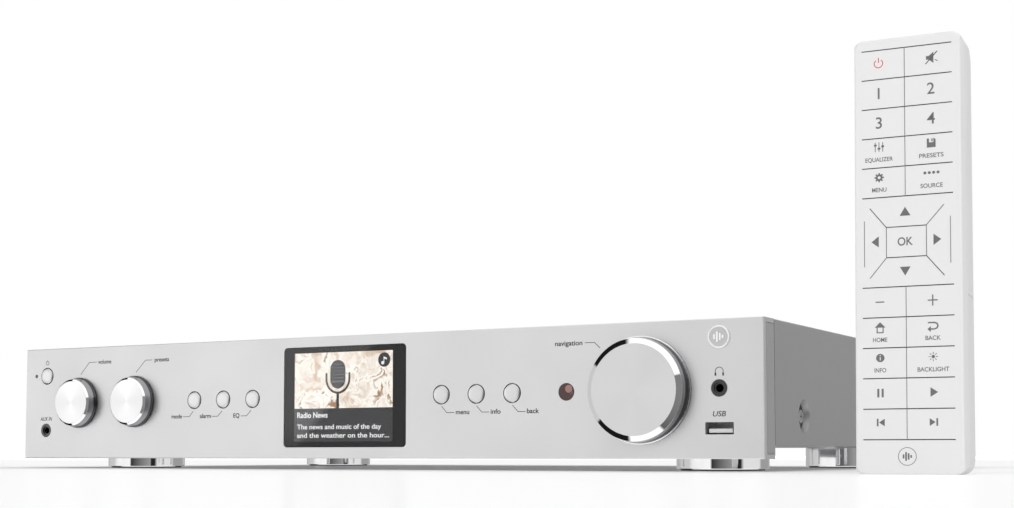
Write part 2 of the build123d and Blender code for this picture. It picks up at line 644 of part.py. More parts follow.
CHIPS = [((110, 10), (22, 22, 1.6)), ((145, 40), (14, 14, 1.2)), ((120, 80), (18, 9, 2.0)),
         ((40, 85), (10, 6, 1.6)), ((60, 85), (10, 6, 1.6)), ((160, 85), (24, 12, 2.6)),
         ((12, 30), (12, 26, 6.0)), ((87, -9), (28, 5, 3.0)), ((-135, 30), (40, 12, 18.0))]
CAPACITORS = [((20, 60), 4.0, 11), ((20, 72), 4.0, 11), ((95, 100), 3.2, 8), ((105, 100), 3.2, 8),
              ((140, 100), 5.0, 12), ((150, 62), 3.2, 8), ((170, 20), 5.0, 12), ((170, 34), 5.0, 12),
              ((-180, 30), 9.0, 24), ((-116, 50), 6.5, 20), ((-116, 66), 6.5, 20), ((-116, 82), 5.0, 16)]
with BuildPart() as board_components:
    for (x, y), (width, depth, height) in CHIPS:
        block((x - width / 2, y - depth / 2, BOARD_TOP), (x + width / 2, y + depth / 2, BOARD_TOP + height))
    for place, radius, height in CAPACITORS:
        with BuildSketch(Plane.XY.offset(BOARD_TOP)):
            with Locations(place):
                Circle(radius)
        extrude(amount=height)
save(board_components, "board_components")

# ferrite core with the winding's block inside it
with BuildPart() as transformer:
    block((-168, 62, BOARD_TOP), (-134, 90, BOARD_TOP + 3))
    block((-166, 67, BOARD_TOP + 3), (-136, 85, BOARD_TOP + 23))
    block((-168, 72, BOARD_TOP + 3), (-166, 80, BOARD_TOP + 23))
    block((-136, 72, BOARD_TOP + 3), (-134, 80, BOARD_TOP + 23))
    block((-168, 72, BOARD_TOP + 23), (-134, 80, BOARD_TOP + 27))
    block((-160, 65, BOARD_TOP + 5), (-142, 87, BOARD_TOP + 21))
save(transformer, "transformer")

RIBBON = [(FRONT + BOARD_FRONT + BOARD_SHEET, 30.0), (-118.0, 30.0), (-112.0, 27.0), (-60.0, 22.0),
          (-24.0, 22.0), (-11.5, BOARD_TOP + 1.8)]
RIBBON_SHEET = 0.4
with BuildPart() as ribbon_cable:
    with BuildSketch(Plane.YZ.offset(75)):
        with BuildLine():
            Polyline(*RIBBON, *[(y, z + RIBBON_SHEET) for y, z in reversed(RIBBON)], close=True)
        make_face()
    extrude(amount=24)
save(ribbon_cable, "ribbon_cable")

# ---------------------------------------------------------------- rear sockets
RCA_BODY_FRONT = REAR_INNER - 12.0
with BuildPart() as audio_sockets:
    block((RCA_X - 15, RCA_BODY_FRONT, BOARD_TOP), (RCA_X + 15, REAR_INNER, BOARD_TOP + 31))
    with BuildSketch(Plane.XZ.offset(-REAR_INNER)):
        with Locations(*RCA_PLACES):
            Circle(RCA_NECK_R)
    extrude(amount=-(BARREL_START - REAR_INNER))
    with BuildSketch(Plane.XZ.offset(-BARREL_START)):
        with Locations(*RCA_PLACES):
            Circle(RCA_R)
    extrude(amount=-(RCA_REACH - BARREL_START))
    with BuildSketch(Plane.XZ.offset(-RCA_REACH)):
        with Locations(*RCA_PLACES):
            Circle(3.5)
            Circle(2.7, mode=Mode.SUBTRACT)
    extrude(amount=9.0, mode=Mode.SUBTRACT)
    with BuildSketch(Plane.XZ.offset(-RCA_REACH)):
        with Locations(*RCA_PLACES):
            Circle(1.65)
    extrude(amount=13.0, mode=Mode.SUBTRACT)
save(audio_sockets, "audio_sockets")

with BuildPart() as digital_sockets:
    for x in OPTICAL_X:
        block((x - 6.8, REAR_INNER - 11, BOARD_TOP), (x + 6.8, REAR_INNER - 0.1, SOCKET_Z + 6))
        block((x - 4.9, REAR_INNER - 0.1, SOCKET_Z - 4.9), (x + 4.9, REAR + 0.6, SOCKET_Z + 4.9))
        block((x - 3.2, REAR - 1.0, SOCKET_Z - 3.2), (x + 3.2, REAR + 0.6, SOCKET_Z + 3.2),
              mode=Mode.SUBTRACT)
save(digital_sockets, "digital_sockets")

NETWORK_MOUTH = (11.8, 8.2)
NETWORK_MOUTH_Z = BOARD_TOP + 6.0
NETWORK_CAVITY = 13.0
with BuildPart() as network_socket:
    block((NETWORK_X - 8, REAR - 21, BOARD_TOP), (NETWORK_X + 8, REAR, BOARD_TOP + 13.4))
    block((NETWORK_X - NETWORK_MOUTH[0] / 2, REAR - NETWORK_CAVITY, NETWORK_MOUTH_Z - NETWORK_MOUTH[1] / 2),
          (NETWORK_X + NETWORK_MOUTH[0] / 2, REAR, NETWORK_MOUTH_Z + NETWORK_MOUTH[1] / 2),
          mode=Mode.SUBTRACT)
    block((NETWORK_X - 3, REAR - 9, NETWORK_MOUTH_Z + 4), (NETWORK_X + 3, REAR, NETWORK_MOUTH_Z + 6),
          mode=Mode.SUBTRACT)
save(network_socket, "network_socket")

with BuildPart() as antenna_socket:
    block((ANTENNA_X - 6.5, REAR_INNER - 13, BOARD_TOP), (ANTENNA_X + 6.5, REAR_INNER, SOCKET_Z + 6.5))
    with BuildSketch(Plane.XZ.offset(-REAR_INNER)):
        with Locations((ANTENNA_X, SOCKET_Z)):
            Circle(ANTENNA_NECK_R)
    extrude(amount=-(BARREL_START - REAR_INNER))
    with BuildSketch(Plane.XZ.offset(-BARREL_START)):
        with Locations((ANTENNA_X, SOCKET_Z)):
            Circle(ANTENNA_R)
    extrude(amount=-(ANTENNA_REACH - BARREL_START))
    with BuildSketch(Plane.XZ.offset(-ANTENNA_REACH)):
        with Locations((ANTENNA_X, SOCKET_Z)):
            Circle(3.6)
            Circle(2.6, mode=Mode.SUBTRACT)
    extrude(amount=1.2, mode=Mode.SUBTRACT)
    with BuildSketch(Plane.XZ.offset(-ANTENNA_REACH)):
        with Locations((ANTENNA_X, SOCKET_Z)):
            Circle(0.8)
    extrude(amount=14.0, mode=Mode.SUBTRACT)
save(antenna_socket, "antenna_socket")

# two-pin inlet, with its pins as separate solids in the same node
INLET_RECESS = (14.2, 8.6)
INLET_RECESS_DEPTH = 12.0
INLET_PIN_X = 4.3
INLET_FACE = REAR + 0.6
with BuildPart() as mains_inlet:
    with BuildSketch(Plane.XZ.offset(-REAR_OUTER)):
        with Locations((INLET_X, INLET_Z)):
            RectangleRounded(25.0, 17.6, 3.0)
    extrude(amount=-(INLET_FACE - REAR_OUTER))
    with BuildSketch(Plane.XZ.offset(-REAR_OUTER)):
        with Locations((INLET_X, INLET_Z)):
            RectangleRounded(21.0, 14.0, 2.0)
    extrude(amount=20.0)
    with BuildSketch(Plane.XZ.offset(-INLET_FACE)):
        with Locations((INLET_X, INLET_Z)):
            RectangleRounded(*INLET_RECESS, 4.0)
    extrude(amount=INLET_RECESS_DEPTH, mode=Mode.SUBTRACT)
    with BuildSketch(Plane.XZ.offset(-(INLET_FACE - INLET_RECESS_DEPTH))):
        with Locations((INLET_X - INLET_PIN_X, INLET_Z), (INLET_X + INLET_PIN_X, INLET_Z)):
            Circle(1.2)
    extrude(amount=-9.5)
save(mains_inlet, "mains_inlet")

# rocker switch: the rocker turns on two pins in the frame's walls
ROCKER_Y = REAR_OUTER - 2.0
ROCKER_PIN_R = 1.0
ROCKER_TILT = radians(8)
ROCKER_HALF = 7.0
with BuildPart() as mains_switch_frame:
    block((SWITCH_X - 7.5, REAR_OUTER, SWITCH_Z - 10.5), (SWITCH_X + 7.5, REAR + 0.8, SWITCH_Z + 10.5))
    block((SWITCH_X - 6.5, REAR_OUTER - 16, SWITCH_Z - 9.5), (SWITCH_X + 6.5, REAR_OUTER, SWITCH_Z + 9.5))
    block((SWITCH_X - 4.5, ROCKER_Y - 8, SWITCH_Z - 7.8), (SWITCH_X + 4.5, REAR + 0.8, SWITCH_Z + 7.8),
          mode=Mode.SUBTRACT)
    with BuildSketch(Plane.YZ.offset(SWITCH_X - 5.7)):
        with Locations((ROCKER_Y, SWITCH_Z)):
            Circle(ROCKER_PIN_R + 0.05)
    extrude(amount=11.4, mode=Mode.SUBTRACT)
save(mains_switch_frame, "mains_switch_frame")

with BuildPart() as mains_rocker:
    rocker_plane = Plane(origin=(SWITCH_X, ROCKER_Y, SWITCH_Z),
                         x_dir=(0, cos(ROCKER_TILT), sin(ROCKER_TILT)), z_dir=(1, 0, 0))
    with BuildSketch(rocker_plane):
        with BuildLine():
            Polyline((-2.2, -2.6), (-2.2, 2.6), (1.0, ROCKER_HALF), (4.2, ROCKER_HALF), (3.5, 0),
                     (4.2, -ROCKER_HALF), (1.0, -ROCKER_HALF), close=True)
        make_face()
    extrude(amount=4.3, both=True)
    with BuildSketch(rocker_plane):
        Circle(ROCKER_PIN_R)
    extrude(amount=5.6, both=True)
save(mains_rocker, "mains_rocker")

# ---------------------------------------------------------------- remote control
# The remote has its own directions: across, up along its face and back through its thickness.
ACROSS = Vector(cos(REMOTE_TURN), sin(REMOTE_TURN), 0)
LEVEL_OUT = Vector(sin(REMOTE_TURN), -cos(REMOTE_TURN), 0)
FACE_OUT = LEVEL_OUT * cos(REMOTE_LEAN) + Vector(0, 0, 1) * sin(REMOTE_LEAN)
ALONG = FACE_OUT.cross(ACROSS)
REMOTE_ORIGIN = Vector(*REMOTE_FOOT)


def remote_face(depth):
    """Plane parallel to the remote's face, depth behind it: x across, y up along the face."""
    return Plane(origin=REMOTE_ORIGIN - FACE_OUT * depth, x_dir=ACROSS, z_dir=FACE_OUT)


def remote_level(height):
    """Plane square to the remote's length at a height along it: x across, y back."""
    return Plane(origin=REMOTE_ORIGIN + ALONG * height, x_dir=ACROSS, z_dir=ALONG)


REMOTE_SIDE = Plane(origin=REMOTE_ORIGIN, x_dir=-FACE_OUT, z_dir=ACROSS)
FLOOR_SLOPE = tan(REMOTE_LEAN)


def remote_body(inset):
    """The remote's whole outer form, drawn in by inset on every side."""
    half, thick, wide = REMOTE_HALF - inset, REMOTE_THICKNESS - inset, REMOTE_FACE_HALF - inset
    tail_depth, tail_height = REMOTE_TAIL
    head_depth, head_height = REMOTE_HEAD
    flat = half - REMOTE_BACK_CORNER
    top = REMOTE_LENGTH - inset
    floor_end = inset + tail_depth * FLOOR_SLOPE
    with BuildPart() as body:
        with BuildSketch(REMOTE_SIDE):
            with BuildLine():
                Line((inset, inset + inset * FLOOR_SLOPE), (tail_depth, floor_end))
                EllipticalCenterArc(REMOTE_TAIL, thick - tail_depth, tail_height - floor_end,
                                    start_angle=270, arc_size=90)
                Line((thick, tail_height), (thick, head_height))
                EllipticalCenterArc(REMOTE_HEAD, thick - head_depth, top - head_height,
                                    start_angle=0, arc_size=90)
                Line((head_depth, top), (inset, top))
                Line((inset, top), (inset, inset + inset * FLOOR_SLOPE))
            make_face()
        extrude(amount=REMOTE_HALF + 2, both=True)
        with BuildSketch(remote_level(-5)):
            with BuildLine():
                Line((-wide, inset), (wide, inset))
                Line((wide, inset), (half, REMOTE_SEAM))
                Line((half, REMOTE_SEAM), (half, REMOTE_SIDE_END))
                EllipticalCenterArc((flat, REMOTE_SIDE_END), REMOTE_BACK_CORNER,
                                    thick - REMOTE_SIDE_END, start_angle=0, arc_size=90)
                Line((flat, thick), (-flat, thick))
                EllipticalCenterArc((-flat, REMOTE_SIDE_END), REMOTE_BACK_CORNER,
                                    thick - REMOTE_SIDE_END, start_angle=90, arc_size=90)
                Line((-half, REMOTE_SIDE_END), (-half, REMOTE_SEAM))
                Line((-half, REMOTE_SEAM), (-wide, inset))
            make_face()
        extrude(amount=REMOTE_LENGTH + 10, mode=Mode.INTERSECT)
        with BuildSketch(remote_face(REMOTE_THICKNESS + 5)):
            with Locations((0, REMOTE_LENGTH / 2)):
                RectangleRounded(2 * half, REMOTE_LENGTH - 2 * inset, REMOTE_CORNER_R - inset / 2)
        extrude(amount=REMOTE_THICKNESS + 10, mode=Mode.INTERSECT)
    return body


def remote_slab(first, last, low=-10.0, high=REMOTE_LENGTH + 10, half=REMOTE_HALF + 10,
                mode=Mode.INTERSECT):
    """Keeps, adds or removes the block between two depths, two heights and both sides."""
    with BuildSketch(remote_face(last)) as slab:
        with Locations((0, (low + high) / 2)):
            Rectangle(2 * half, high - low)
    extrude(slab.sketch, amount=last - first, mode=mode)


remote_outer = remote_body(0)
remote_inner = remote_body(REMOTE_WALL)

KEY_ROWS = [0, 1, 2, 3, 4, 8, 9, 10, 11, 12]
KEY_HALF = 8.4
NAVIGATION_V = KEY_BASE + 6.5 * KEY_PITCH
KEY_PLACES = [(u, KEY_BASE + (row + 0.5) * KEY_PITCH) for row in KEY_ROWS for u in (-KEY_HALF, KEY_HALF)]
KEY_PLACES += [(0, NAVIGATION_V), (0, NAVIGATION_V - 12), (0, NAVIGATION_V + 12),
               (-12.5, NAVIGATION_V), (12.5, NAVIGATION_V)]
with BuildPart() as remote_keypad:
    add(remote_outer.part)
    remote_slab(0, REMOTE_SKIN)
    with BuildSketch(remote_face(REMOTE_SKIN)):
        with Locations((0, REMOTE_LENGTH / 2)):
            RectangleRounded(2 * (REMOTE_FACE_HALF + REMOTE_SKIN) - 2 * SKIN_BEVEL,
                             REMOTE_LENGTH + 2 * REMOTE_SKIN - 2 * SKIN_BEVEL,
                             REMOTE_CORNER_R + 0.4)
    extrude(amount=REMOTE_SKIN, taper=45, mode=Mode.INTERSECT)
    with BuildSketch(remote_face(3.4)):
        with Locations(*KEY_PLACES):
            Circle(1.4)
    extrude(amount=3.4 - REMOTE_SKIN + 0.2)
save(remote_keypad, "remote_keypad")

with BuildPart() as remote_inner_front:
    add(remote_inner.part)
    remote_slab(2.6, REMOTE_SEAM + 1)
with BuildPart() as remote_front_shell:
    add(remote_outer.part)
    remote_slab(REMOTE_SKIN, REMOTE_SEAM)
    add(remote_inner_front.part, mode=Mode.SUBTRACT)
    with BuildSketch(remote_face(2.7)):
        with Locations((0, KEY_BASE + 6.5 * KEY_PITCH)):
            RectangleRounded(30.5, 13 * KEY_PITCH, 2.0)
    extrude(amount=1.6, mode=Mode.SUBTRACT)
    with BuildSketch(remote_level(155)):
        with Locations((0, 3.9)):
            Circle(1.55)
    extrude(amount=12, mode=Mode.SUBTRACT)
save(remote_front_shell, "remote_front_shell")

with BuildPart() as remote_emitter:
    with BuildSketch(remote_level(158.4)):
        with Locations((0, 3.9)):
            Circle(1.5)
    extrude(amount=6.0)
save(remote_emitter, "remote_emitter")

with BuildPart() as remote_board:
    with BuildSketch(remote_face(4.8)):
        with Locations((0, 82)):
            RectangleRounded(32.5, 152, 2.0)
    extrude(amount=1.0)
save(remote_board, "remote_board")

TRAY_DEPTH = (6.0, 7.4)
CELL_R, CELL_LENGTH = 5.2, 43.4
CELL_DEPTH = TRAY_DEPTH[1] + CELL_R + 0.1
CELL_BASE = 21.4
PLATE = 0.5
LOW_PLATE = CELL_BASE - 4.9
with BuildPart() as remote_bulkhead:
    add(remote_inner.part)
    remote_slab(TRAY_DEPTH[0], REMOTE_THICKNESS, low=REMOTE_SPLIT + 0.1, high=REMOTE_SPLIT + 1.7)
with BuildPart() as remote_rear_shell:
    add(remote_outer.part)
    remote_slab(REMOTE_SEAM, REMOTE_THICKNESS + 1, low=REMOTE_SPLIT + 0.1)
    add(remote_inner.part, mode=Mode.SUBTRACT)
    add(remote_bulkhead.part)
    remote_slab(*TRAY_DEPTH, low=4.5, high=REMOTE_SPLIT + 1, half=17.5, mode=Mode.ADD)
    remote_slab(TRAY_DEPTH[0], 15.0, low=LOW_PLATE - 1.8, high=LOW_PLATE, half=14.0, mode=Mode.ADD)
save(remote_rear_shell, "remote_rear_shell")

with BuildPart() as remote_battery_cover:
    add(remote_outer.part)
    remote_slab(REMOTE_SEAM + 0.1, REMOTE_THICKNESS + 1, high=REMOTE_SPLIT - 0.1)
    add(remote_inner.part, mode=Mode.SUBTRACT)
save(remote_battery_cover, "remote_battery_cover")

with BuildPart() as remote_batteries:
    for u, low in ((-5.6, 0.0), (5.6, 1.0)):
        with BuildSketch(remote_level(CELL_BASE + low)):
            with Locations((u, CELL_DEPTH)):
                Circle(CELL_R)
        extrude(amount=CELL_LENGTH)
    with BuildSketch(remote_level(CELL_BASE + CELL_LENGTH)):
        with Locations((-5.6, CELL_DEPTH)):
            Circle(1.9)
    extrude(amount=1.0)
    with BuildSketch(remote_level(CELL_BASE)):
        with Locations((5.6, CELL_DEPTH)):
            Circle(1.9)
    extrude(amount=1.0)
save(remote_batteries, "remote_batteries")

with BuildPart() as remote_contacts:
    with BuildSketch(remote_level(LOW_PLATE)):
        with Locations((0, CELL_DEPTH - 1.4)):
            Rectangle(22, 7.0)
    extrude(amount=PLATE)
    with BuildSketch(remote_level(LOW_PLATE)):
        with Locations((-5.6, CELL_DEPTH), (5.6, CELL_DEPTH)):
            Circle(2.6)
    extrude(amount=CELL_BASE - LOW_PLATE - 0.1)
    with BuildSketch(remote_level(REMOTE_SPLIT + 0.1 - PLATE)):
        with Locations((-5.6, CELL_DEPTH - 0.6), (5.6, CELL_DEPTH - 0.6)):
            Rectangle(9.0, 8.0)
    extrude(amount=PLATE)
save(remote_contacts, "remote_contacts")
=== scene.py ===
"""Looks of the mini hi-fi tuner and its remote control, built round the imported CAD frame.

Blender units are metres in the row's own frame: +Z up, the panel faces -Y, +X to the right.
"""
from math import cos, degrees, pi, radians, sin, sqrt, tau

import bmesh
import bpy
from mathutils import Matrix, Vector


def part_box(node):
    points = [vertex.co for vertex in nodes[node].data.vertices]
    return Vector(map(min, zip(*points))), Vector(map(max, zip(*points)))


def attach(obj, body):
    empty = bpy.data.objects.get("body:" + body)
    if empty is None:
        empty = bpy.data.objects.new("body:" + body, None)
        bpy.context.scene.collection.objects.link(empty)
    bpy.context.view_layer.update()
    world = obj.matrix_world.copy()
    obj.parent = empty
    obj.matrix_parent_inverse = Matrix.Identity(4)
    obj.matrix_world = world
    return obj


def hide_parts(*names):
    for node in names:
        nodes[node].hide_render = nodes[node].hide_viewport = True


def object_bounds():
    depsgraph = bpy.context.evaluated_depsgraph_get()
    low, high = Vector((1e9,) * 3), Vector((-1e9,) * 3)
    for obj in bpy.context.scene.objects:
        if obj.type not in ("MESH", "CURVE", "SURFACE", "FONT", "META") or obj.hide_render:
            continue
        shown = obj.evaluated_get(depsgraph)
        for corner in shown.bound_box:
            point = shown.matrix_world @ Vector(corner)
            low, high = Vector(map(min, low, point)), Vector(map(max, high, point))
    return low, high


MM = 0.001

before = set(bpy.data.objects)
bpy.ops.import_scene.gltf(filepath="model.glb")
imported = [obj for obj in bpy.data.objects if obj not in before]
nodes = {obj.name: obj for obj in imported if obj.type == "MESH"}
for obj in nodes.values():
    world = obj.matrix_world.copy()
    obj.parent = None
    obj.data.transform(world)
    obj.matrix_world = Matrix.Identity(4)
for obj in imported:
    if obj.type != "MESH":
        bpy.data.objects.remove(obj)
cad_low, cad_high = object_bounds()

panel_low, panel_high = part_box("front_panel")
FRONT = panel_low.y
PANEL_BOTTOM = panel_low.z


def centre(node):
    low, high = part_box(node)
    return (low + high) / 2


# ---------------------------------------------------------------- materials
class Shader:
    """A new node material, with short calls to add and join nodes."""

    def __init__(self, name):
        self.material = bpy.data.materials.new(name)
        self.material.use_nodes = True
        self.tree = self.material.node_tree
        self.surface = self.tree.nodes["Principled BSDF"]
        self.place = self.add("ShaderNodeTexCoord").outputs["Object"]

    def add(self, kind, inputs=None, **settings):
        node = self.tree.nodes.new(kind)
        for key, value in settings.items():
            setattr(node, key, value)
        for key, value in (inputs or {}).items():
            if isinstance(value, bpy.types.NodeSocket):
                self.tree.links.new(value, node.inputs[key])
            else:
                node.inputs[key].default_value = value
        return node

    def set(self, **inputs):
        """Sets or joins sockets of the Principled shader; an underscore stands for a space."""
        for key, value in inputs.items():
            socket = self.surface.inputs[key.replace("_", " ")]
            if isinstance(value, bpy.types.NodeSocket):
                self.tree.links.new(value, socket)
            else:
                socket.default_value = value

    def noise(self, size, detail=3.0, roughness=0.5):
        """Noise whose features are about size millimetres across, from 0 to 1."""
        return self.add("ShaderNodeTexNoise", {
            "Vector": self.place, "Scale": 1 / (size * MM), "Detail": detail,
            "Roughness": roughness}).outputs["Fac"]

    def spread(self, value, low, high, start=0.25, end=0.75):
        """Maps a value between start and end on to low and high."""
        return self.add("ShaderNodeMapRange", {
            "Value": value, "From Min": start, "From Max": end, "To Min": low,
            "To Max": high}).outputs["Result"]

    def math(self, operation, first, second=0.0):
        return self.add("ShaderNodeMath", {0: first, 1: second}, operation=operation).outputs[0]

    def tint(self, factor, first, second):
        """Mixes two colours by a factor."""
        mix = self.add("ShaderNodeMix", data_type="RGBA")
        for key, value in ((0, factor), (6, first), (7, second)):
            if isinstance(value, bpy.types.NodeSocket):
                self.tree.links.new(value, mix.inputs[key])
            else:
                mix.inputs[key].default_value = (*value, 1)
        return mix.outputs[2]

    def bump(self, height, distance):
        """Adds relief of the given depth in millimetres."""
        node = self.add("ShaderNodeBump", {"Height": height, "Distance": distance * MM,
                                           "Strength": 1.0})
        self.set(Normal=node.outputs["Normal"])


def grey(value):
    return (value, value, value)


def shaded(colour, factor):
    return tuple(channel * factor for channel in colour)


def grained(name, colour, roughness, metallic=0.0, grain=0.3, relief=0.01, vary=0.04, coat=0.0,
            specular=0.5):
    """Paint, plastic or blasted metal: fine grain in relief and tone, broad drift in gloss."""
    s = Shader(name)
    fine = s.noise(grain, 4.0)
    broad = s.noise(38.0, 2.0)
    tone = s.tint(s.spread(fine, 0, 1), shaded(colour, 1 - vary), shaded(colour, 1 + vary))
    s.set(Base_Color=tone, Metallic=metallic, Coat_Weight=coat, Specular_IOR_Level=specular,
          Roughness=s.spread(broad, roughness * 0.92, roughness * 1.08))
    s.bump(fine, relief)
    return s.material


def polished(name, colour, roughness=0.05):
    """Mirror metal with faint wiping marks."""
    s = Shader(name)
    marks = s.noise(6.0, 5.0, roughness=0.7)
    s.set(Base_Color=s.tint(marks, shaded(colour, 0.98), colour), Metallic=1.0,
          Roughness=s.spread(marks, roughness * 0.7, roughness * 1.5))
    return s.material


def spun(name, colour, roughness, axis_at, line=0.06, relief=0.0003):
    """Metal turned on a lathe: fine circles round a line along Y through axis_at."""
    s = Shader(name)
    offset = s.add("ShaderNodeVectorMath", {0: s.place, 1: tuple(-c for c in axis_at)},
                   operation="ADD").outputs["Vector"]
    flat = s.add("ShaderNodeVectorMath", {0: offset, 1: (1, 0, 1)}, operation="MULTIPLY")
    radius = s.add("ShaderNodeVectorMath", {0: flat.outputs["Vector"]}, operation="LENGTH")
    rings = s.add("ShaderNodeTexNoise", {"W": radius.outputs["Value"], "Scale": 1 / (line * MM),
                                         "Detail": 4.0}, noise_dimensions="1D").outputs["Fac"]
    s.set(Base_Color=s.tint(rings, shaded(colour, 0.98), colour), Metallic=1.0, Anisotropic=0.7,
          Roughness=s.spread(rings, roughness * 0.93, roughness * 1.07))
    tangent = s.add("ShaderNodeTangent", direction_type="RADIAL", axis="Y")
    s.set(Tangent=tangent.outputs["Tangent"])
    s.bump(rings, relief)
    return s.material


def board_mask(name, colour):
    """Solder mask with copper tracks showing through as slightly lighter lines."""
    s = Shader(name)
    tracks = s.add("ShaderNodeTexBrick", {"Vector": s.place, "Scale": 120.0, "Mortar Size": 0.03,
                                          "Color1": (0, 0, 0, 1), "Color2": (0, 0, 0, 1),
                                          "Mortar": (1, 1, 1, 1)}).outputs["Fac"]
    s.set(Base_Color=s.tint(tracks, colour, shaded(colour, 1.9)), Roughness=0.35, Coat_Weight=0.3)
    s.bump(tracks, 0.03)
    return s.material


metal_panel = grained("panel_metal", (0.74, 0.74, 0.745), 0.40, metallic=0.9, grain=0.22,
                      relief=0.006, vary=0.03)
metal_button = grained("button_metal", (0.70, 0.70, 0.705), 0.3, metallic=1.0, grain=0.15,
                       relief=0.003, vary=0.02)
metal_chrome = polished("chrome_metal", (0.90, 0.90, 0.91), 0.035)
# knob sides: polished metal given a dim colour, and a near-black one at their foot next to the panel: painted
# shade
metal_flank_painted_shade = polished("flank_metal_painted_shade", (0.44, 0.44, 0.45), 0.16)
metal_foot_painted_shade = polished("foot_metal_painted_shade", (0.10, 0.10, 0.105), 0.2)
metal_screw = grained("screw_metal", (0.66, 0.66, 0.67), 0.28, metallic=1.0, grain=0.4)
metal_can = grained("can_metal", (0.62, 0.62, 0.61), 0.32, metallic=1.0, grain=0.8)
metal_nickel = polished("nickel_metal", (0.78, 0.77, 0.74), 0.12)
metal_brass = grained("brass_metal", (0.72, 0.56, 0.27), 0.25, metallic=1.0, grain=0.5)
metal_tray = grained("tray_metal", (0.50, 0.50, 0.51), 0.38, metallic=0.9, grain=2.5,
                     relief=0.01, vary=0.08)
# the case's silver paint, made darker than the front's: painted shade of the case's sides
paint_case_painted_shade = grained("case_paint", (0.39, 0.39, 0.395), 0.42, metallic=0.55, grain=0.35,
                     relief=0.012, vary=0.03)
plastic_frame = grained("frame_plastic", (0.31, 0.31, 0.315), 0.45, grain=0.4, relief=0.01)
plastic_black = grained("black_plastic", grey(0.018), 0.38, grain=0.35, relief=0.012, vary=0.15)
plastic_gloss = grained("gloss_plastic", grey(0.012), 0.12, grain=1.0, relief=0.001, coat=0.4)
plastic_white = grained("white_plastic", grey(0.75), 0.4, grain=0.4)
plastic_red = grained("red_plastic", (0.55, 0.03, 0.025), 0.35, grain=0.4)
plastic_epoxy = grained("epoxy_plastic", grey(0.03), 0.55, grain=0.25, relief=0.015)
plastic_remote = grained("remote_plastic", (0.76, 0.76, 0.765), 0.42, grain=0.3, relief=0.008,
                         vary=0.015)
skin_remote = grained("remote_skin", (0.84, 0.84, 0.842), 0.48, grain=0.22, relief=0.006,
                      vary=0.012)
rubber_foot = grained("foot_rubber", grey(0.02), 0.8, grain=0.5, relief=0.03, vary=0.2)
ink_dark = grained("dark_ink", grey(0.035), 0.55, grain=0.12, relief=0.002, vary=0.15)
ink_black = grained("black_ink", grey(0.006), 0.5, grain=0.12, relief=0.002, vary=0.2)
ink_grey = grained("grey_ink", grey(0.16), 0.55, grain=0.12, relief=0.002, vary=0.1)
ink_red = grained("red_ink", (0.75, 0.03, 0.03), 0.5, grain=0.12, relief=0.002)
mask_green = board_mask("board_mask", (0.012, 0.10, 0.035))
flex_ribbon = grained("ribbon_flex", (0.80, 0.81, 0.83), 0.3, grain=1.2)
sleeve_cell = grained("cell_sleeve", (0.05, 0.09, 0.16), 0.25, grain=1.0, coat=0.3)
core_transformer = grained("transformer_core", (0.05, 0.045, 0.04), 0.6, grain=0.6, relief=0.03)


def glowing(name, colour, strength=1.0):
    """An area of a lit screen, which reflects no light of its own."""
    s = Shader(name)
    cells = s.noise(0.35, 1.0)
    s.set(Base_Color=(0, 0, 0, 1), Roughness=0.6, Specular_IOR_Level=0.0, Emission_Strength=strength,
          Emission_Color=s.tint(cells, shaded(colour, 0.97), colour))
    return s.material


def marbled(name):
    """The picture on the screen: pale stone with brown veins."""
    s = Shader(name)
    bend = s.add("ShaderNodeTexNoise", {"Vector": s.place, "Scale": 55.0, "Detail": 6.0}).outputs["Color"]
    moved = s.add("ShaderNodeVectorMath", {0: bend, 1: (0.03, 0.03, 0.03), 2: s.place},
                  operation="MULTIPLY_ADD").outputs["Vector"]
    veins = s.add("ShaderNodeTexNoise", {"Vector": moved, "Scale": 90.0, "Detail": 5.0,
                                         "Distortion": 1.5}).outputs["Fac"]
    dark = s.spread(veins, 0, 1, 0.56, 0.66)
    pale = s.spread(veins, 0, 1, 0.30, 0.55)
    stone = s.tint(pale, (0.62, 0.45, 0.32), (1.0, 0.95, 0.87))
    picture = s.tint(dark, stone, (0.36, 0.20, 0.10))
    s.set(Base_Color=(0, 0, 0, 1), Roughness=0.6, Specular_IOR_Level=0.0, Emission_Strength=1.15,
          Emission_Color=picture)
    return s.material


def clear_glass(name):
    s = Shader(name)
    wipes = s.noise(14.0, 3.0)
    s.set(Base_Color=(0.90, 0.91, 0.92, 1), Transmission_Weight=1.0, IOR=1.45,
          Roughness=s.spread(wipes, 0.0, 0.015))
    return s.material


glow_marble = marbled("screen_marble")
glow_white = glowing("screen_white", (0.95, 0.95, 0.95))
glow_grey = glowing("screen_grey", (0.12, 0.12, 0.13))
glow_dark = glowing("screen_dark", (0.012, 0.012, 0.014))
glow_black = glowing("screen_black", (0.006, 0.006, 0.007))
glass_window = clear_glass("window_glass")
plastic_ir = grained("ir_plastic", (0.055, 0.018, 0.015), 0.12, grain=0.8, relief=0.001, coat=0.35)
ink_mask = grained("mask_ink", grey(0.004), 0.7, grain=0.2, relief=0.0, specular=0.0)
# lighter red-brown of the disc on the IR lens: painted reflection
plastic_ir_reflection = grained("ir_reflection_plastic", (0.36, 0.19, 0.16), 0.3, grain=0.3, relief=0.001)
ink_pale = grained("pale_ink", grey(0.75), 0.5, grain=0.12, relief=0.002)
metal_badge_ring = grained("badge_metal", (0.97, 0.97, 0.97), 0.3, metallic=0.2, grain=0.3, relief=0.002)
metal_badge_field = grained("badge_field", (0.62, 0.62, 0.63), 0.4, metallic=0.95, grain=0.2)

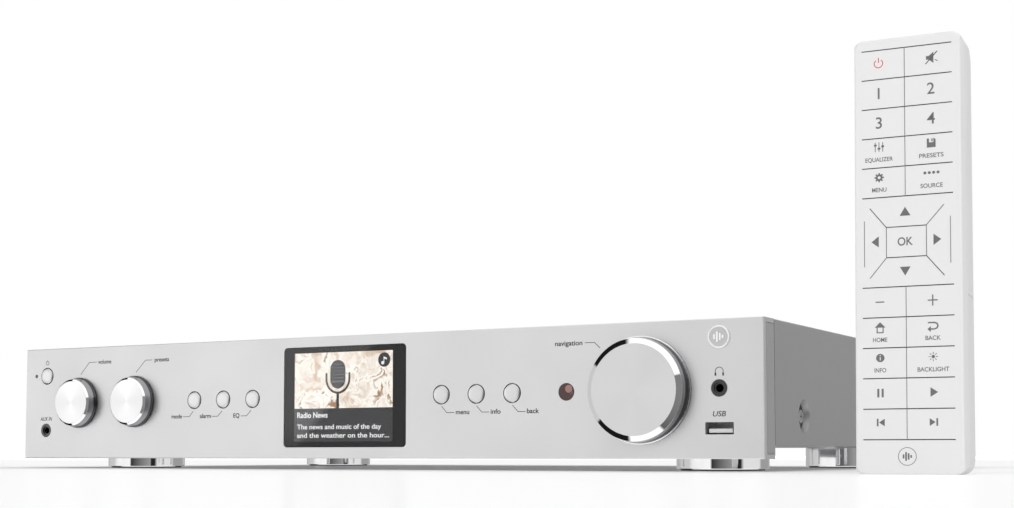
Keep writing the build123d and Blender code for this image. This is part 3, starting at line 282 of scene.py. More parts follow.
NODE_MATERIALS = {
    "display_window": glass_window, "ir_window": plastic_ir,
    "front_panel": metal_panel, "front_frame": plastic_frame, "top_cover": paint_case_painted_shade,
    "rear_panel": paint_case_painted_shade, "bottom_tray": metal_tray, "cover_screws": metal_screw,
    "rear_screws": metal_screw, "foot_screws": metal_screw, "board_screws": metal_screw,
    "foot_shells": metal_chrome, "foot_pads": rubber_foot, "badge": metal_chrome,
    "aux_in_jack": plastic_gloss, "headphone_jack": plastic_gloss, "usb_port": metal_nickel,
    "usb_tongue": plastic_white, "status_light": plastic_gloss, "front_board": mask_green,
    "main_board": mask_green, "power_board": mask_green, "remote_board": mask_green,
    "tact_switches": plastic_epoxy, "board_components": plastic_epoxy,
    "presets_plunger": plastic_epoxy, "navigation_plunger": plastic_epoxy,
    "rotary_encoders": metal_can, "radio_module": metal_can, "network_socket": metal_nickel,
    "antenna_socket": metal_nickel, "audio_sockets": metal_nickel,
    "digital_sockets": plastic_black, "mains_inlet": plastic_black,
    "mains_switch_frame": plastic_black, "mains_rocker": plastic_gloss,
    "transformer": core_transformer, "ribbon_cable": flex_ribbon, "standoffs": metal_brass,
    "volume_shaft": metal_screw, "presets_shaft": metal_screw, "navigation_shaft": metal_screw,
    "display_module": plastic_gloss, "remote_front_shell": plastic_remote,
    "remote_rear_shell": plastic_remote, "remote_battery_cover": plastic_remote,
    "remote_keypad": skin_remote, "remote_batteries": sleeve_cell,
    "remote_contacts": metal_brass, "remote_emitter": plastic_gloss,
}
for name in nodes:
    nodes[name].data.materials.clear()
    nodes[name].data.materials.append(NODE_MATERIALS.get(name, metal_button))


# ---------------------------------------------------------------- mesh helpers
def mesh_object(name, points, faces, materials, face_slots=None):
    mesh = bpy.data.meshes.new(name)
    mesh.from_pydata([tuple(p) for p in points], [], faces)
    for material in materials:
        mesh.materials.append(material)
    if face_slots:
        mesh.polygons.foreach_set("material_index", face_slots)
    tidy = bmesh.new()
    tidy.from_mesh(mesh)
    bmesh.ops.recalc_face_normals(tidy, faces=tidy.faces)
    tidy.to_mesh(mesh)
    tidy.free()
    mesh.shade_smooth()
    piece = bpy.data.objects.new(name, mesh)
    bpy.context.scene.collection.objects.link(piece)
    return piece


def soften(piece, width, segments=2, angle=28):
    """Rounds the sharp edges by width millimetres and keeps the flat faces flat."""
    bevel = piece.modifiers.new("soft_edges", "BEVEL")
    bevel.width = width * MM
    bevel.segments = segments
    bevel.limit_method = "ANGLE"
    bevel.angle_limit = radians(angle)
    bevel.use_clamp_overlap = True
    bevel.harden_normals = True


def crease_tree(angle):
    """Geometry nodes that shade a mesh smooth but for edges sharper than the angle."""
    tree = bpy.data.node_groups.new("creases", "GeometryNodeTree")
    for way in ("INPUT", "OUTPUT"):
        tree.interface.new_socket("Geometry", in_out=way, socket_type="NodeSocketGeometry")
    start, end = tree.nodes.new("NodeGroupInput"), tree.nodes.new("NodeGroupOutput")
    clean = tree.nodes.new("GeometryNodeRemoveAttribute")
    clean.inputs["Name"].default_value = "custom_normal"
    between = tree.nodes.new("GeometryNodeInputMeshEdgeAngle")
    sharp = tree.nodes.new("ShaderNodeMath")
    sharp.operation = "GREATER_THAN"
    sharp.inputs[1].default_value = radians(angle)
    faces, edges = (tree.nodes.new("GeometryNodeSetShadeSmooth") for _ in range(2))
    faces.inputs["Shade Smooth"].default_value = True
    edges.domain = "EDGE"
    edges.inputs["Shade Smooth"].default_value = False
    for source, target in ((start.outputs[0], clean.inputs["Geometry"]),
                           (clean.outputs[0], faces.inputs["Geometry"]),
                           (faces.outputs[0], edges.inputs["Geometry"]),
                           (between.outputs["Unsigned Angle"], sharp.inputs[0]),
                           (sharp.outputs[0], edges.inputs["Selection"]),
                           (edges.outputs[0], end.inputs[0])):
        tree.links.new(source, target)
    return tree


CREASES = crease_tree(28)


def soften_cad(name, width, segments=2, angle=28):
    """Joins a CAD node's split vertices, shades it by its creases and rounds its edges if width > 0."""
    weld = nodes[name].modifiers.new("joined", "WELD")
    weld.merge_threshold = 0.002 * MM
    nodes[name].modifiers.new("creases", "NODES").node_group = CREASES
    if width:
        soften(nodes[name], width, segments, angle)


AXES = {"Y": (Vector((1, 0, 0)), Vector((0, 0, 1)), Vector((0, 1, 0))),
        "Z": (Vector((1, 0, 0)), Vector((0, 1, 0)), Vector((0, 0, 1))),
        "X": (Vector((0, 1, 0)), Vector((0, 0, 1)), Vector((1, 0, 0)))}


def lathe(name, outline, at, materials, axis="Y", segments=128, slots=None):
    """A closed solid of revolution through at; outline lists (radius, distance along the axis) in mm.

    slots gives the material of the stretch that follows each point of the outline.
    """
    right, up, along = AXES[axis]
    points, rings = [], []
    for radius, distance in outline:
        start = len(points)
        turns = segments if radius > 0 else 1
        for k in range(turns):
            turn = tau * k / segments
            offset = (right * cos(turn) + up * sin(turn)) * radius + along * distance
            points.append(Vector(at) + offset * MM)
        rings.append((start, turns))
    faces, face_slots = [], []
    for i, (start, turns) in enumerate(rings):
        after, after_turns = rings[(i + 1) % len(rings)]
        if turns == 1 and after_turns == 1:
            continue
        for k in range(segments):
            n = (k + 1) % segments
            if turns == 1:
                face = (start, after + k, after + n)
            elif after_turns == 1:
                face = (start + k, start + n, after)
            else:
                face = (start + k, start + n, after + n, after + k)
            faces.append(face)
            face_slots.append(slots[i] if slots else 0)
    return mesh_object(name, points, faces, materials, face_slots)


def rounded(width, height, radius, steps=8):
    """Outline of a rounded rectangle about the origin."""
    points = []
    for quarter, (sx, sy) in enumerate(((1, 1), (-1, 1), (-1, -1), (1, -1))):
        for k in range(steps + 1):
            turn = (quarter + k / steps) * pi / 2
            points.append((sx * (width / 2 - radius) + radius * cos(turn),
                           sy * (height / 2 - radius) + radius * sin(turn)))
    return points


CAPITAL_SHARE = 0.71       # height of a capital as a share of the font's size


class Drawing:
    """Flat shapes in millimetres, raised into thin closed solids on a plane."""

    def __init__(self, name, origin, right, up, height=0.03, sink=0.02):
        self.name, self.origin, self.right, self.up = name, Vector(origin), right, up
        self.out = right.cross(up)
        self.height, self.sink = height, sink
        self.points, self.faces, self.slots, self.materials = [], [], [], []

    def slot(self, material):
        if material not in self.materials:
            self.materials.append(material)
        return self.materials.index(material)

    def place(self, x, y, z):
        return self.origin + (self.right * x + self.up * y + self.out * z) * MM

    def solid(self, outline, material, hole=None):
        """A prism over the outline, or over the band between it and a hole with as many points."""
        slot, base, count = self.slot(material), len(self.points), len(outline)
        loops = [outline] if hole is None else [outline, hole]
        for loop in loops:
            for z in (self.height, -self.sink):
                self.points += [self.place(x, y, z) for x, y in loop]
        top, low = base, base + count
        new = []
        if hole is None:
            new.append(tuple(range(top, top + count)))
            new.append(tuple(range(low + count - 1, low - 1, -1)))
        for i in range(count):
            n = (i + 1) % count
            new.append((top + i, low + i, low + n, top + n))
            if hole is not None:
                inner, inner_low = base + 2 * count, base + 3 * count
                new.append((inner + i, inner + n, inner_low + n, inner_low + i))
                new.append((top + i, top + n, inner + n, inner + i))
                new.append((low + i, inner_low + i, inner_low + n, low + n))
        self.faces += new
        self.slots += [slot] * len(new)

    def box(self, x, y, width, height, material):
        w, h = width / 2, height / 2
        self.solid([(x - w, y - h), (x + w, y - h), (x + w, y + h), (x - w, y + h)], material)

    def line(self, start, end, width, material):
        (x0, y0), (x1, y1) = start, end
        length = sqrt((x1 - x0) ** 2 + (y1 - y0) ** 2)
        nx, ny = (y0 - y1) / length * width / 2, (x1 - x0) / length * width / 2
        self.solid([(x0 - nx, y0 - ny), (x1 - nx, y1 - ny), (x1 + nx, y1 + ny), (x0 + nx, y0 + ny)],
                   material)

    def path(self, stops, width, material):
        """A line through several points, mitred at the corners."""
        left, right = [], []
        for i, (x, y) in enumerate(stops):
            before = Vector(stops[max(i - 1, 0)])
            after = Vector(stops[min(i + 1, len(stops) - 1)])
            here = Vector((x, y))
            legs = [(b - a).normalized() for a, b in ((before, here), (here, after)) if (b - a).length]
            way = sum(legs, Vector((0, 0))).normalized()
            reach = width / 2 / max(way.dot(legs[0]), 0.3)
            left.append((x - way.y * reach, y + way.x * reach))
            right.append((x + way.y * reach, y - way.x * reach))
        self.solid(right + left[::-1], material)

    def disc(self, x, y, radius, material, steps=32):
        self.solid([(x + radius * cos(tau * k / steps), y + radius * sin(tau * k / steps))
                    for k in range(steps)], material)

    def ring(self, x, y, radius, width, material, steps=48):
        outer, inner = ([(x + r * cos(tau * k / steps), y + r * sin(tau * k / steps))
                         for k in range(steps)] for r in (radius, radius - width))
        self.solid(outer, material, hole=inner)

    def arc(self, x, y, radius, width, start, end, material, steps=28):
        """Part of a ring from one angle to another, in degrees."""
        turns = [radians(start + (end - start) * k / steps) for k in range(steps + 1)]
        outer = [(x + radius * cos(t), y + radius * sin(t)) for t in turns]
        inner = [(x + (radius - width) * cos(t), y + (radius - width) * sin(t)) for t in turns]
        self.solid(outer + inner[::-1], material)

    def text(self, words, first, last, y, size, material, slant=0.0, weight=0.03):
        """Lettering from first to last, or about first if last is None, with capitals size mm high."""
        curve = bpy.data.curves.new("lettering", "FONT")
        curve.body = words
        curve.size = size / CAPITAL_SHARE * MM
        curve.shear = slant
        curve.offset = weight * MM
        curve.extrude = (self.height + self.sink) / 2 * MM
        carrier = bpy.data.objects.new("lettering", curve)
        bpy.context.scene.collection.objects.link(carrier)
        graph = bpy.context.evaluated_depsgraph_get()
        mesh = bpy.data.meshes.new_from_object(carrier.evaluated_get(graph))
        base, slot = len(self.points), self.slot(material)
        middle = (self.height - self.sink) / 2
        start = min(vertex.co.x for vertex in mesh.vertices) / MM
        end = max(vertex.co.x for vertex in mesh.vertices) / MM
        for vertex in mesh.vertices:
            vx, vy, vz = vertex.co / MM
            if last is None:
                across = first + vx - (start + end) / 2
            else:
                across = first + (vx - start) / (end - start) * (last - first)
            self.points.append(self.place(across, y + vy - size / 2, vz + middle))
        for face in mesh.polygons:
            self.faces.append(tuple(base + v for v in face.vertices))
            self.slots.append(slot)
        bpy.data.objects.remove(carrier)
        bpy.data.curves.remove(curve)
        bpy.data.meshes.remove(mesh)

    def build(self, body):
        piece = mesh_object(self.name, self.points, self.faces, self.materials, self.slots)
        piece.data.shade_flat()
        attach(piece, body)
        return piece


# ---------------------------------------------------------------- CAD pieces: shading and edges
for name in ("front_panel", "rear_panel", "front_frame", "bottom_tray", "top_cover"):
    soften_cad(name, 0)
for name, width in (("cover_screws", 0.12),
                    ("rear_screws", 0.12), ("usb_port", 0.1), ("usb_tongue", 0.12),
                    ("aux_in_jack", 0.15), ("headphone_jack", 0.15),
                    ("mains_inlet", 0.3), ("mains_rocker", 0.35), ("mains_switch_frame", 0.25),
                    ("network_socket", 0.15), ("digital_sockets", 0.2),
                    ("remote_keypad", 0.25), ("remote_front_shell", 0.15),
                    ("remote_rear_shell", 0.2), ("remote_battery_cover", 0.2)):
    soften_cad(name, width)

# ---------------------------------------------------------------- knobs
# slot 2 is the knob's sides and slot 3 their foot next to the panel, both in darkened metal: painted shade
SMALL_KNOB = [(3.02, -0.6), (3.02, -4.0), (0, -4.0), (0, -6.3), (11.4, -6.3), (12.45, -5.4),
              (12.6, -4.6), (12.8, -3.4), (13.1, -2.2), (13.6, -1.1), (13.6, -0.6), (12.0, -0.6),
              (11.0, -4.2), (5.2, -4.2), (5.2, -0.6)]
SMALL_SLOTS = [2, 2, 2, 0, 1, 2, 2, 2, 3, 3, 3, 2, 2, 2, 2]
LARGE_KNOB = [(3.02, -0.6), (3.02, -5.2), (0, -5.2), (0, -7.9), (20.1, -7.9), (22.5, -6.7),
              (22.6, -5.6), (22.8, -4.0), (23.05, -2.4), (23.3, -1.5), (23.3, -1.2), (23.8, -1.2),
              (23.8, -0.6), (21.5, -0.6), (20.4, -5.6), (5.5, -5.6), (5.5, -0.6)]
LARGE_SLOTS = [2, 2, 2, 0, 1, 2, 2, 3, 3, 3, 1, 1, 2, 2, 2, 2, 2]


def knob(name, body, outline, slots, segments):
    middle = centre(name)
    at = (middle.x, FRONT, middle.z)
    face = spun(name + "_face", (0.68, 0.68, 0.685), 0.22, at)
    piece = lathe(name + "_turned", outline, at, [face, metal_chrome, metal_flank_painted_shade, metal_foot_painted_shade],
                  segments=segments, slots=slots)
    soften(piece, 0.07, segments=2, angle=20)
    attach(piece, body)
    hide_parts(name)


knob("volume_knob", "volume", SMALL_KNOB, SMALL_SLOTS, 144)
knob("presets_knob", "presets", SMALL_KNOB, SMALL_SLOTS, 144)
knob("navigation_knob", "navigation", LARGE_KNOB, LARGE_SLOTS, 192)

# ---------------------------------------------------------------- buttons
BUTTON = [(0, -0.62), (2.4, -0.61), (3.75, -0.58), (4.0, -0.5), (4.16, -0.3), (4.2, -0.1),
          (4.2, 3.05), (5.4, 3.05), (5.4, 4.05), (1.5, 4.05), (1.5, 5.95), (0, 5.95)]
for key in ("power", "mode", "alarm", "eq", "menu", "info", "back"):
    name = key + "_button"
    middle = centre(name)
    piece = lathe(name + "_cap", BUTTON, (middle.x, FRONT, middle.z), [metal_button], segments=72)
    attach(piece, key + "_key")
    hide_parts(name)
    soften(piece, 0.04, segments=1, angle=40)

# ---------------------------------------------------------------- feet
FOOT = [(2.2, 11.4), (20.6, 11.4), (20.6, 11.0), (21.3, 11.0), (21.3, 0.9),
        (21.0, 0.6), (19.6, 0.6), (19.6, 2.4), (5.0, 2.4), (5.0, 8.4), (2.2, 8.4)]
foot_low, foot_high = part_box("foot_shells")
FOOT_R = 21.3 * MM
for side, x in (("left", foot_low.x + FOOT_R), ("right", foot_high.x - FOOT_R)):
    for end, y in (("front", foot_low.y + FOOT_R), ("rear", foot_high.y - FOOT_R)):
        piece = lathe(f"foot_{end}_{side}", FOOT, (x, y, 0), [metal_chrome], axis="Z")
        soften(piece, 0.1, segments=2, angle=20)
        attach(piece, "unit")
        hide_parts("foot_shells")

# ---------------------------------------------------------------- legends on the panel
RIGHT, UP = Vector((1, 0, 0)), Vector((0, 0, 1))
LEADER = 0.28
legends = Drawing("panel_legends", (0, FRONT, PANEL_BOTTOM), RIGHT, UP)
for words, first, last, height, stops in (
        ("volume", -161.5, -152.0, 51.9, ((-174, 45.3), (-167.75, 51.75), (-162.5, 51.75))),
        ("presets", -121.4, -111.5, 51.9, ((-134.25, 45.5), (-127.75, 51.75), (-123.1, 51.75))),
        ("mode", -109.25, -102.2, 21.8, ((-94.75, 24.25), (-97.25, 21.5), (-101.5, 21.5))),
        ("alarm", -90.25, -82.9, 21.8, ((-75.6, 24.25), (-78.4, 21.5), (-82.25, 21.5))),
        ("EQ", -68.25, -64.3, 21.8, ((-56.9, 24.25), (-59.75, 21.5), (-63.4, 21.5))),
        ("menu", 64.0, 71.25, 21.8, ((56.2, 24.5), (59, 21.5), (63.1, 21.5))),
        ("info", 82.75, 88.0, 21.8, ((75.2, 24.5), (78, 21.5), (82, 21.5))),
        ("back", 101.75, 108.0, 21.8, ((94.2, 24.5), (97.1, 21.5), (101, 21.5))),
        ("navigation", 116.25, 130.0, 51.9, ((131.25, 51.75), (136, 51.75), (138.75, 49.2)))):
    legends.text(words, first, last, height, 2.2, ink_black, weight=0.05)
    legends.path(stops, LEADER, ink_dark)
legends.text("AUX IN", -203.6, -194.8, 21.5, 2.1, ink_dark, slant=0.2)
legends.text("USB", 191.95, 197.85, 19.3, 2.3, ink_black, slant=0.2, weight=0.03)


def power_mark(drawing, x, y, radius, width, material):
    drawing.arc(x, y, radius, width, 125, 415, material)
    drawing.box(x, y + radius * 0.75, width, radius * 1.1, material)


power_mark(legends, -199, 52.3, 1.2, 0.28, ink_dark)
legends.arc(195, 37.3, 1.95, 0.3, -25, 205, ink_dark)
for side in (-1, 1):
    legends.box(195 + side * 1.75, 36.1, 0.75, 1.3, ink_dark)
legends.build("unit")

# hairline joints between the panel's flanges and the frame, seen at both ends
for side, name in ((1, "joints_right"), (-1, "joints_left")):
    joints = Drawing(name, (side * panel_high.x, FRONT, PANEL_BOTTOM), Vector((0, side, 0)), UP,
                     height=0.02, sink=0.04)
    for height in (2.1, 57.9):
        joints.box(side * 8.2, height, 9.4, 0.2, ink_black)
    joints.box(side * 3.3, 30.0, 0.16, 55.6, ink_grey)
    joints.build("unit")

# black rings under the screws in the cover's dishes: painted shade that darkens each dish
DISH_SHADE_RING = [(3.3, 212.05), (6.4, 212.05), (6.4, 212.3), (6.1, 212.45), (3.3, 212.45)]
DISH_Y, DISH_Z = (-92.8, 106.0), 24.4
for k, (side, y) in enumerate((side, y) for side in (-1, 1) for y in DISH_Y):
    dish_shade = lathe(f"dish_painted_shade_{k + 1}", [(radius, side * x) for radius, x in DISH_SHADE_RING],
                   (0, y * MM, DISH_Z * MM), [plastic_black], axis="X", segments=64)
    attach(dish_shade, "unit")

# ---------------------------------------------------------------- badge: a plain ring with bars
badge_middle = centre("badge")
badge_r = (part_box("badge")[1].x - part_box("badge")[0].x) / 2 / MM
BADGE = [(0, 0.0), (badge_r, 0.0), (badge_r, -0.62), (badge_r - 0.2, -0.8), (badge_r - 0.6, -0.8),
         (badge_r - 0.75, -0.45), (0, -0.42)]
badge = lathe("badge_ring", BADGE, (badge_middle.x, FRONT, badge_middle.z),
              [metal_badge_ring, metal_badge_field], slots=[1, 0, 0, 0, 0, 1, 1])
soften(badge, 0.05)
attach(badge, "unit")
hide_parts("badge")
bars = Drawing("badge_bars", (badge_middle.x, FRONT - 0.42 * MM, badge_middle.z), RIGHT, UP, height=0.35)
EMBLEM = ((-1.9, 2.2), (-0.65, 4.6), (0.65, 3.3), (1.9, 1.6))
for x, tall in EMBLEM:
    bars.solid([(x + px, py) for px, py in rounded(0.85, tall, 0.4, 5)], metal_badge_ring)
bars.build("unit")

# ---------------------------------------------------------------- small windows in the panel
ir_middle = centre("ir_window")
IR_LENS = [(0, 0.25), (1.6, 0.2), (3.0, 0.1), (3.7, -0.02), (3.95, 0.05), (3.95, 3.05), (5.0, 3.05),
           (5.0, 4.0), (0, 4.0)]
ir_piece = lathe("ir_lens", IR_LENS, (ir_middle.x, FRONT, ir_middle.z), [plastic_ir], segments=64)
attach(ir_piece, "unit")
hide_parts("ir_window")
# a lighter disc at the upper right of the lens front: painted reflection, drawn as the receiver dome behind
# the filter
ir_reflection = Drawing("ir_painted_reflection", (ir_middle.x, FRONT + 0.22 * MM, ir_middle.z), RIGHT, UP,
                   height=0.24, sink=0.1)
ir_reflection.disc(1.15, 1.35, 1.75, plastic_ir_reflection)
ir_reflection.build("unit")

# ---------------------------------------------------------------- display
SCREEN_X = -1.25          # middle of the lit area from the panel's middle
SCREEN_WIDTH, SCREEN_LOW = 58.35, 8.35
PICTURE_LOW, PICTURE_HIGH = 24.6, 52.05
CELL_DEPTH, MASK_DEPTH = 1.72, 1.58      # from the panel's front
# the lit cell is bonded to the back of the glass and fills the gap to the module behind it
screen = Drawing("display_picture", (0, FRONT + CELL_DEPTH * MM, PANEL_BOTTOM), RIGHT, UP,
                 height=0.0, sink=1.36)
screen.box(SCREEN_X, (PICTURE_LOW + PICTURE_HIGH) / 2, SCREEN_WIDTH, PICTURE_HIGH - PICTURE_LOW,
           glow_marble)
screen.box(SCREEN_X, (SCREEN_LOW + PICTURE_LOW) / 2, SCREEN_WIDTH, PICTURE_LOW - SCREEN_LOW, glow_dark)
screen.build("unit")

LAYER, TOP_LAYER = 0.04, 0.07
marks = Drawing("display_marks", (-0.65 * MM, FRONT + CELL_DEPTH * MM, PANEL_BOTTOM), RIGHT, UP,
                height=LAYER, sink=0.0)
# a stage microphone with its stand
MIC_X, MIC_Z = -3.6, 41.2
capsule = [(MIC_X + x, MIC_Z + z) for x, z in rounded(9.0, 14.0, 4.45, 10)]
marks.solid(capsule, glow_black)
marks.arc(MIC_X, MIC_Z - 2.2, 7.4, 1.1, 180, 360, glow_black)
for side in (-1, 1):
    marks.box(MIC_X + side * 6.85, MIC_Z - 0.7, 1.1, 3.0, glow_black)
marks.box(MIC_X, 28.4, 1.5, 7.6, glow_black)
marks.height = TOP_LAYER
for k in range(5):
    marks.box(MIC_X, MIC_Z + 5.0 - 1.7 * k, 7.6 if 0 < k else 5.6, 0.35, glow_grey)
marks.box(MIC_X, MIC_Z - 3.6, 8.9, 0.8, glow_grey)
# a round station mark with a note in it
marks.height = LAYER
marks.disc(23.6, 47.6, 3.5, glow_black)
marks.height = TOP_LAYER
marks.disc(22.75, 46.1, 0.85, glow_white)
marks.box(23.45, 47.55, 0.4, 3.0, glow_white)
marks.solid([(23.25, 49.1), (23.25, 48.2), (25.1, 47.6), (25.1, 48.5)], glow_white)
marks.height = LAYER
marks.text("Radio News", -28.1, -9.6, 21.4, 2.75, glow_white, weight=0.09)
marks.text("The news and music of the day", -28.1, 22.0, 15.6, 2.4, glow_white, weight=0.05)
marks.text("and the weather on the hour...", -28.1, 26.6, 11.4, 2.4, glow_white, weight=0.05)
marks.build("unit")

mask = Drawing("display_mask", (0, FRONT + MASK_DEPTH * MM, PANEL_BOTTOM + 30.2 * MM), RIGHT, UP,
               height=0.06, sink=0.0)
mask.solid(rounded(72.1, 49.2, 1.9), ink_mask,
           hole=[(x + SCREEN_X, z) for x, z in rounded(58.5, 43.9, 0.3)])
mask.build("unit")

# ---------------------------------------------------------------- legends on the remote control
REMOTE_FOOT = Vector((0.2889, -0.1973, 0))
TURN, LEAN = radians(2.66), radians(2.4)
ACROSS = Vector((cos(TURN), sin(TURN), 0))
FACE_OUT = Vector((sin(TURN) * cos(LEAN), -cos(TURN) * cos(LEAN), sin(LEAN)))
ALONG = FACE_OUT.cross(ACROSS)
PITCH, BASE = 11.34, 12.74
MIDDLE, LEFT, RIGHT_COLUMN = -0.65, -10.3, 9.0

print_ = Drawing("remote_legends", REMOTE_FOOT, ACROSS, ALONG, height=0.035, sink=0.03)
# the grooves between the keys are drawn as dark lines, their own dark joints, with the level lines darker
# than the upright ones: painted shade
for row in (0, 1, 2, 3, 4, 5, 8, 9, 10, 11, 12, 13):
    print_.box(0, BASE + row * PITCH, 33.4, 0.36, ink_black)
for first, last in ((0, 5), (8, 13)):
    print_.box(MIDDLE, BASE + (first + last) / 2 * PITCH, 0.26, (last - first) * PITCH - 0.6, ink_grey)
# cursor field: grooves drawn as lines, the level and falling ones darker than the upright and rising ones:
# painted shade
OK_LEFT, OK_RIGHT, OK_LOW, OK_HIGH = -7.75, 6.95, 80.5, 91.95
for height in (OK_LOW, OK_HIGH):
    print_.box((OK_LEFT + OK_RIGHT) / 2, height, OK_RIGHT - OK_LEFT, 0.34, ink_black)
for x in (OK_LEFT, OK_RIGHT):
    print_.box(x, (OK_LOW + OK_HIGH) / 2, 0.28, OK_HIGH - OK_LOW, ink_grey)
for start, end, ink in (((OK_LEFT, OK_HIGH), (-13.85, 99.5), ink_dark),
                        ((OK_RIGHT, OK_HIGH), (13.35, 99.25), ink_grey),
                        ((OK_LEFT, OK_LOW), (-13.9, 73.0), ink_grey),
                        ((OK_RIGHT, OK_LOW), (13.35, 72.85), ink_dark)):
    print_.line(start, end, 0.3, ink)
for x in (-15.95, 15.65):
    print_.box(x, 86.1, 0.26, 17.4, ink_grey)
print_.solid([(-2.8, 96.0), (1.2, 96.0), (-0.8, 99.3)], ink_grey)
print_.solid([(-2.85, 76.8), (-0.9, 73.5), (1.05, 76.8)], ink_grey)
print_.solid([(-10.6, 84.6), (-10.6, 88.8), (-13.3, 86.7)], ink_grey)
print_.solid([(9.5, 84.3), (12.3, 86.4), (9.5, 88.5)], ink_grey)
print_.text("OK", -3.6, 2.0, 86.4, 3.1, ink_grey, weight=0.06)
for words, x, height, size, wide in (
        ("1", LEFT, 143.5, 4.4, 1.3), ("2", RIGHT_COLUMN, 143.5, 4.4, 2.6),
        ("3", LEFT, 132.15, 4.4, 2.6), ("4", RIGHT_COLUMN, 132.15, 4.4, 2.9),
        ("EQUALIZER", LEFT, 118.05, 1.6, 10.3), ("PRESETS", RIGHT_COLUMN, 118.05, 1.6, 8.9),
        ("MENU", LEFT, 106.45, 1.6, 5.4), ("SOURCE", RIGHT_COLUMN, 106.7, 1.6, 8.1),
        ("HOME", LEFT, 49.85, 1.6, 5.3), ("BACK", RIGHT_COLUMN, 50.0, 1.6, 5.5),
        ("INFO", LEFT, 38.5, 1.6, 4.3), ("BACKLIGHT", RIGHT_COLUMN, 38.45, 1.6, 11.4)):
    if len(words) == 1:
        print_.text(words, x, None, height, size, ink_grey)
    else:
        print_.text(words, x - wide / 2, x + wide / 2, height, size, ink_grey)
power_mark(print_, LEFT, 155.0, 1.75, 0.32, ink_red)
# sound off
print_.solid([(7.4, 154.4), (8.4, 154.4), (10.1, 152.9), (10.1, 157.2), (8.4, 155.8), (7.4, 155.8)], ink_grey)
print_.line((7.2, 152.8), (11.5, 157.4), 0.35, ink_dark)
print_.line((10.6, 154.2), (11.7, 153.6), 0.28, ink_grey)
# equaliser
for x, knob_height in ((-1.4, 0.7), (0, -0.6), (1.4, 0.2)):
    print_.box(LEFT + x, 122.8, 0.28, 3.6, ink_grey)
    print_.box(LEFT + x, 122.8 + knob_height, 1.0, 0.7, ink_grey)
# disk
print_.solid([(7.4, 121.0), (10.6, 121.0), (10.6, 124.0), (10.0, 124.4), (9.8, 124.4), (9.8, 122.9),
              (8.2, 122.9), (8.2, 124.4), (7.4, 124.4)], ink_grey)
print_.box(9.3, 123.8, 0.45, 1.1, ink_grey)
# gear
print_.ring(LEFT, 111.1, 1.25, 0.7, ink_grey)
for k in range(8):
    turn = tau * k / 8
    reach = (cos(turn), sin(turn))
    print_.line((LEFT + 1.1 * reach[0], 111.1 + 1.1 * reach[1]),
                (LEFT + 1.75 * reach[0], 111.1 + 1.75 * reach[1]), 0.55, ink_grey)
# four dots
for k in range(4):
    print_.disc(RIGHT_COLUMN - 2.4 + 1.6 * k, 111.5, 0.55, ink_grey, 20)
# minus, plus
print_.box(LEFT, 63.95, 3.2, 0.45, ink_grey)
print_.box(RIGHT_COLUMN, 63.9, 3.6, 0.45, ink_grey)
print_.box(RIGHT_COLUMN, 65.05, 0.45, 1.82, ink_grey)
print_.box(RIGHT_COLUMN, 62.75, 0.45, 1.82, ink_grey)
# house
print_.solid([(LEFT - 2.0, 54.4), (LEFT + 2.0, 54.4), (LEFT, 56.4)], ink_grey)
print_.box(LEFT, 52.5, 2.6, 0.4, ink_grey)
for side in (-1, 1):
    print_.box(LEFT + side * 1.1, 53.55, 0.4, 1.7, ink_grey)
# back arrow
print_.path([(RIGHT_COLUMN - 1.8, 55.6), (RIGHT_COLUMN + 0.6, 55.6), (RIGHT_COLUMN + 1.5, 55.2),
             (RIGHT_COLUMN + 1.8, 54.4), (RIGHT_COLUMN + 1.5, 53.6), (RIGHT_COLUMN + 0.6, 53.2),
             (RIGHT_COLUMN - 0.9, 53.2)], 0.5, ink_grey)
print_.solid([(RIGHT_COLUMN - 0.8, 52.1), (RIGHT_COLUMN - 0.8, 54.3), (RIGHT_COLUMN - 2.0, 53.2)], ink_grey)
# information
print_.disc(LEFT, 43.05, 1.55, ink_grey)
# light
print_.disc(RIGHT_COLUMN, 43.05, 0.62, ink_grey)
for k in range(8):
    turn = tau * k / 8
    reach = (cos(turn), sin(turn))
    print_.line((RIGHT_COLUMN + 0.95 * reach[0], 43.05 + 0.95 * reach[1]),
                (RIGHT_COLUMN + 1.7 * reach[0], 43.05 + 1.7 * reach[1]), 0.24, ink_grey)
# pause, play, previous, next
for side in (-1, 1):
    print_.box(LEFT + side * 0.8, 30.0, 0.75, 3.2, ink_grey)
print_.solid([(RIGHT_COLUMN - 1.1, 28.3), (RIGHT_COLUMN + 1.6, 30.05), (RIGHT_COLUMN - 1.1, 31.8)], ink_grey)
print_.box(LEFT - 1.1, 19.1, 0.6, 2.8, ink_grey)
print_.solid([(LEFT + 1.5, 17.7), (LEFT + 1.5, 20.5), (LEFT - 0.6, 19.1)], ink_grey)
print_.box(RIGHT_COLUMN + 1.2, 19.1, 0.6, 2.8, ink_grey)
print_.solid([(RIGHT_COLUMN - 1.5, 17.7), (RIGHT_COLUMN + 0.6, 19.1), (RIGHT_COLUMN - 1.5, 20.5)], ink_grey)
# emblem
print_.ring(MIDDLE, 6.6, 3.35, 0.22, ink_grey)
for x, tall in EMBLEM:
    print_.solid([(MIDDLE + (x + px) * 0.72, 6.6 + py * 0.72) for px, py in rounded(0.85, tall, 0.4, 5)],
                 ink_grey)
print_.height = 0.06
print_.box(LEFT, 42.75, 0.42, 1.2, ink_pale)
print_.box(LEFT, 43.9, 0.42, 0.42, ink_pale)
print_.build("remote")

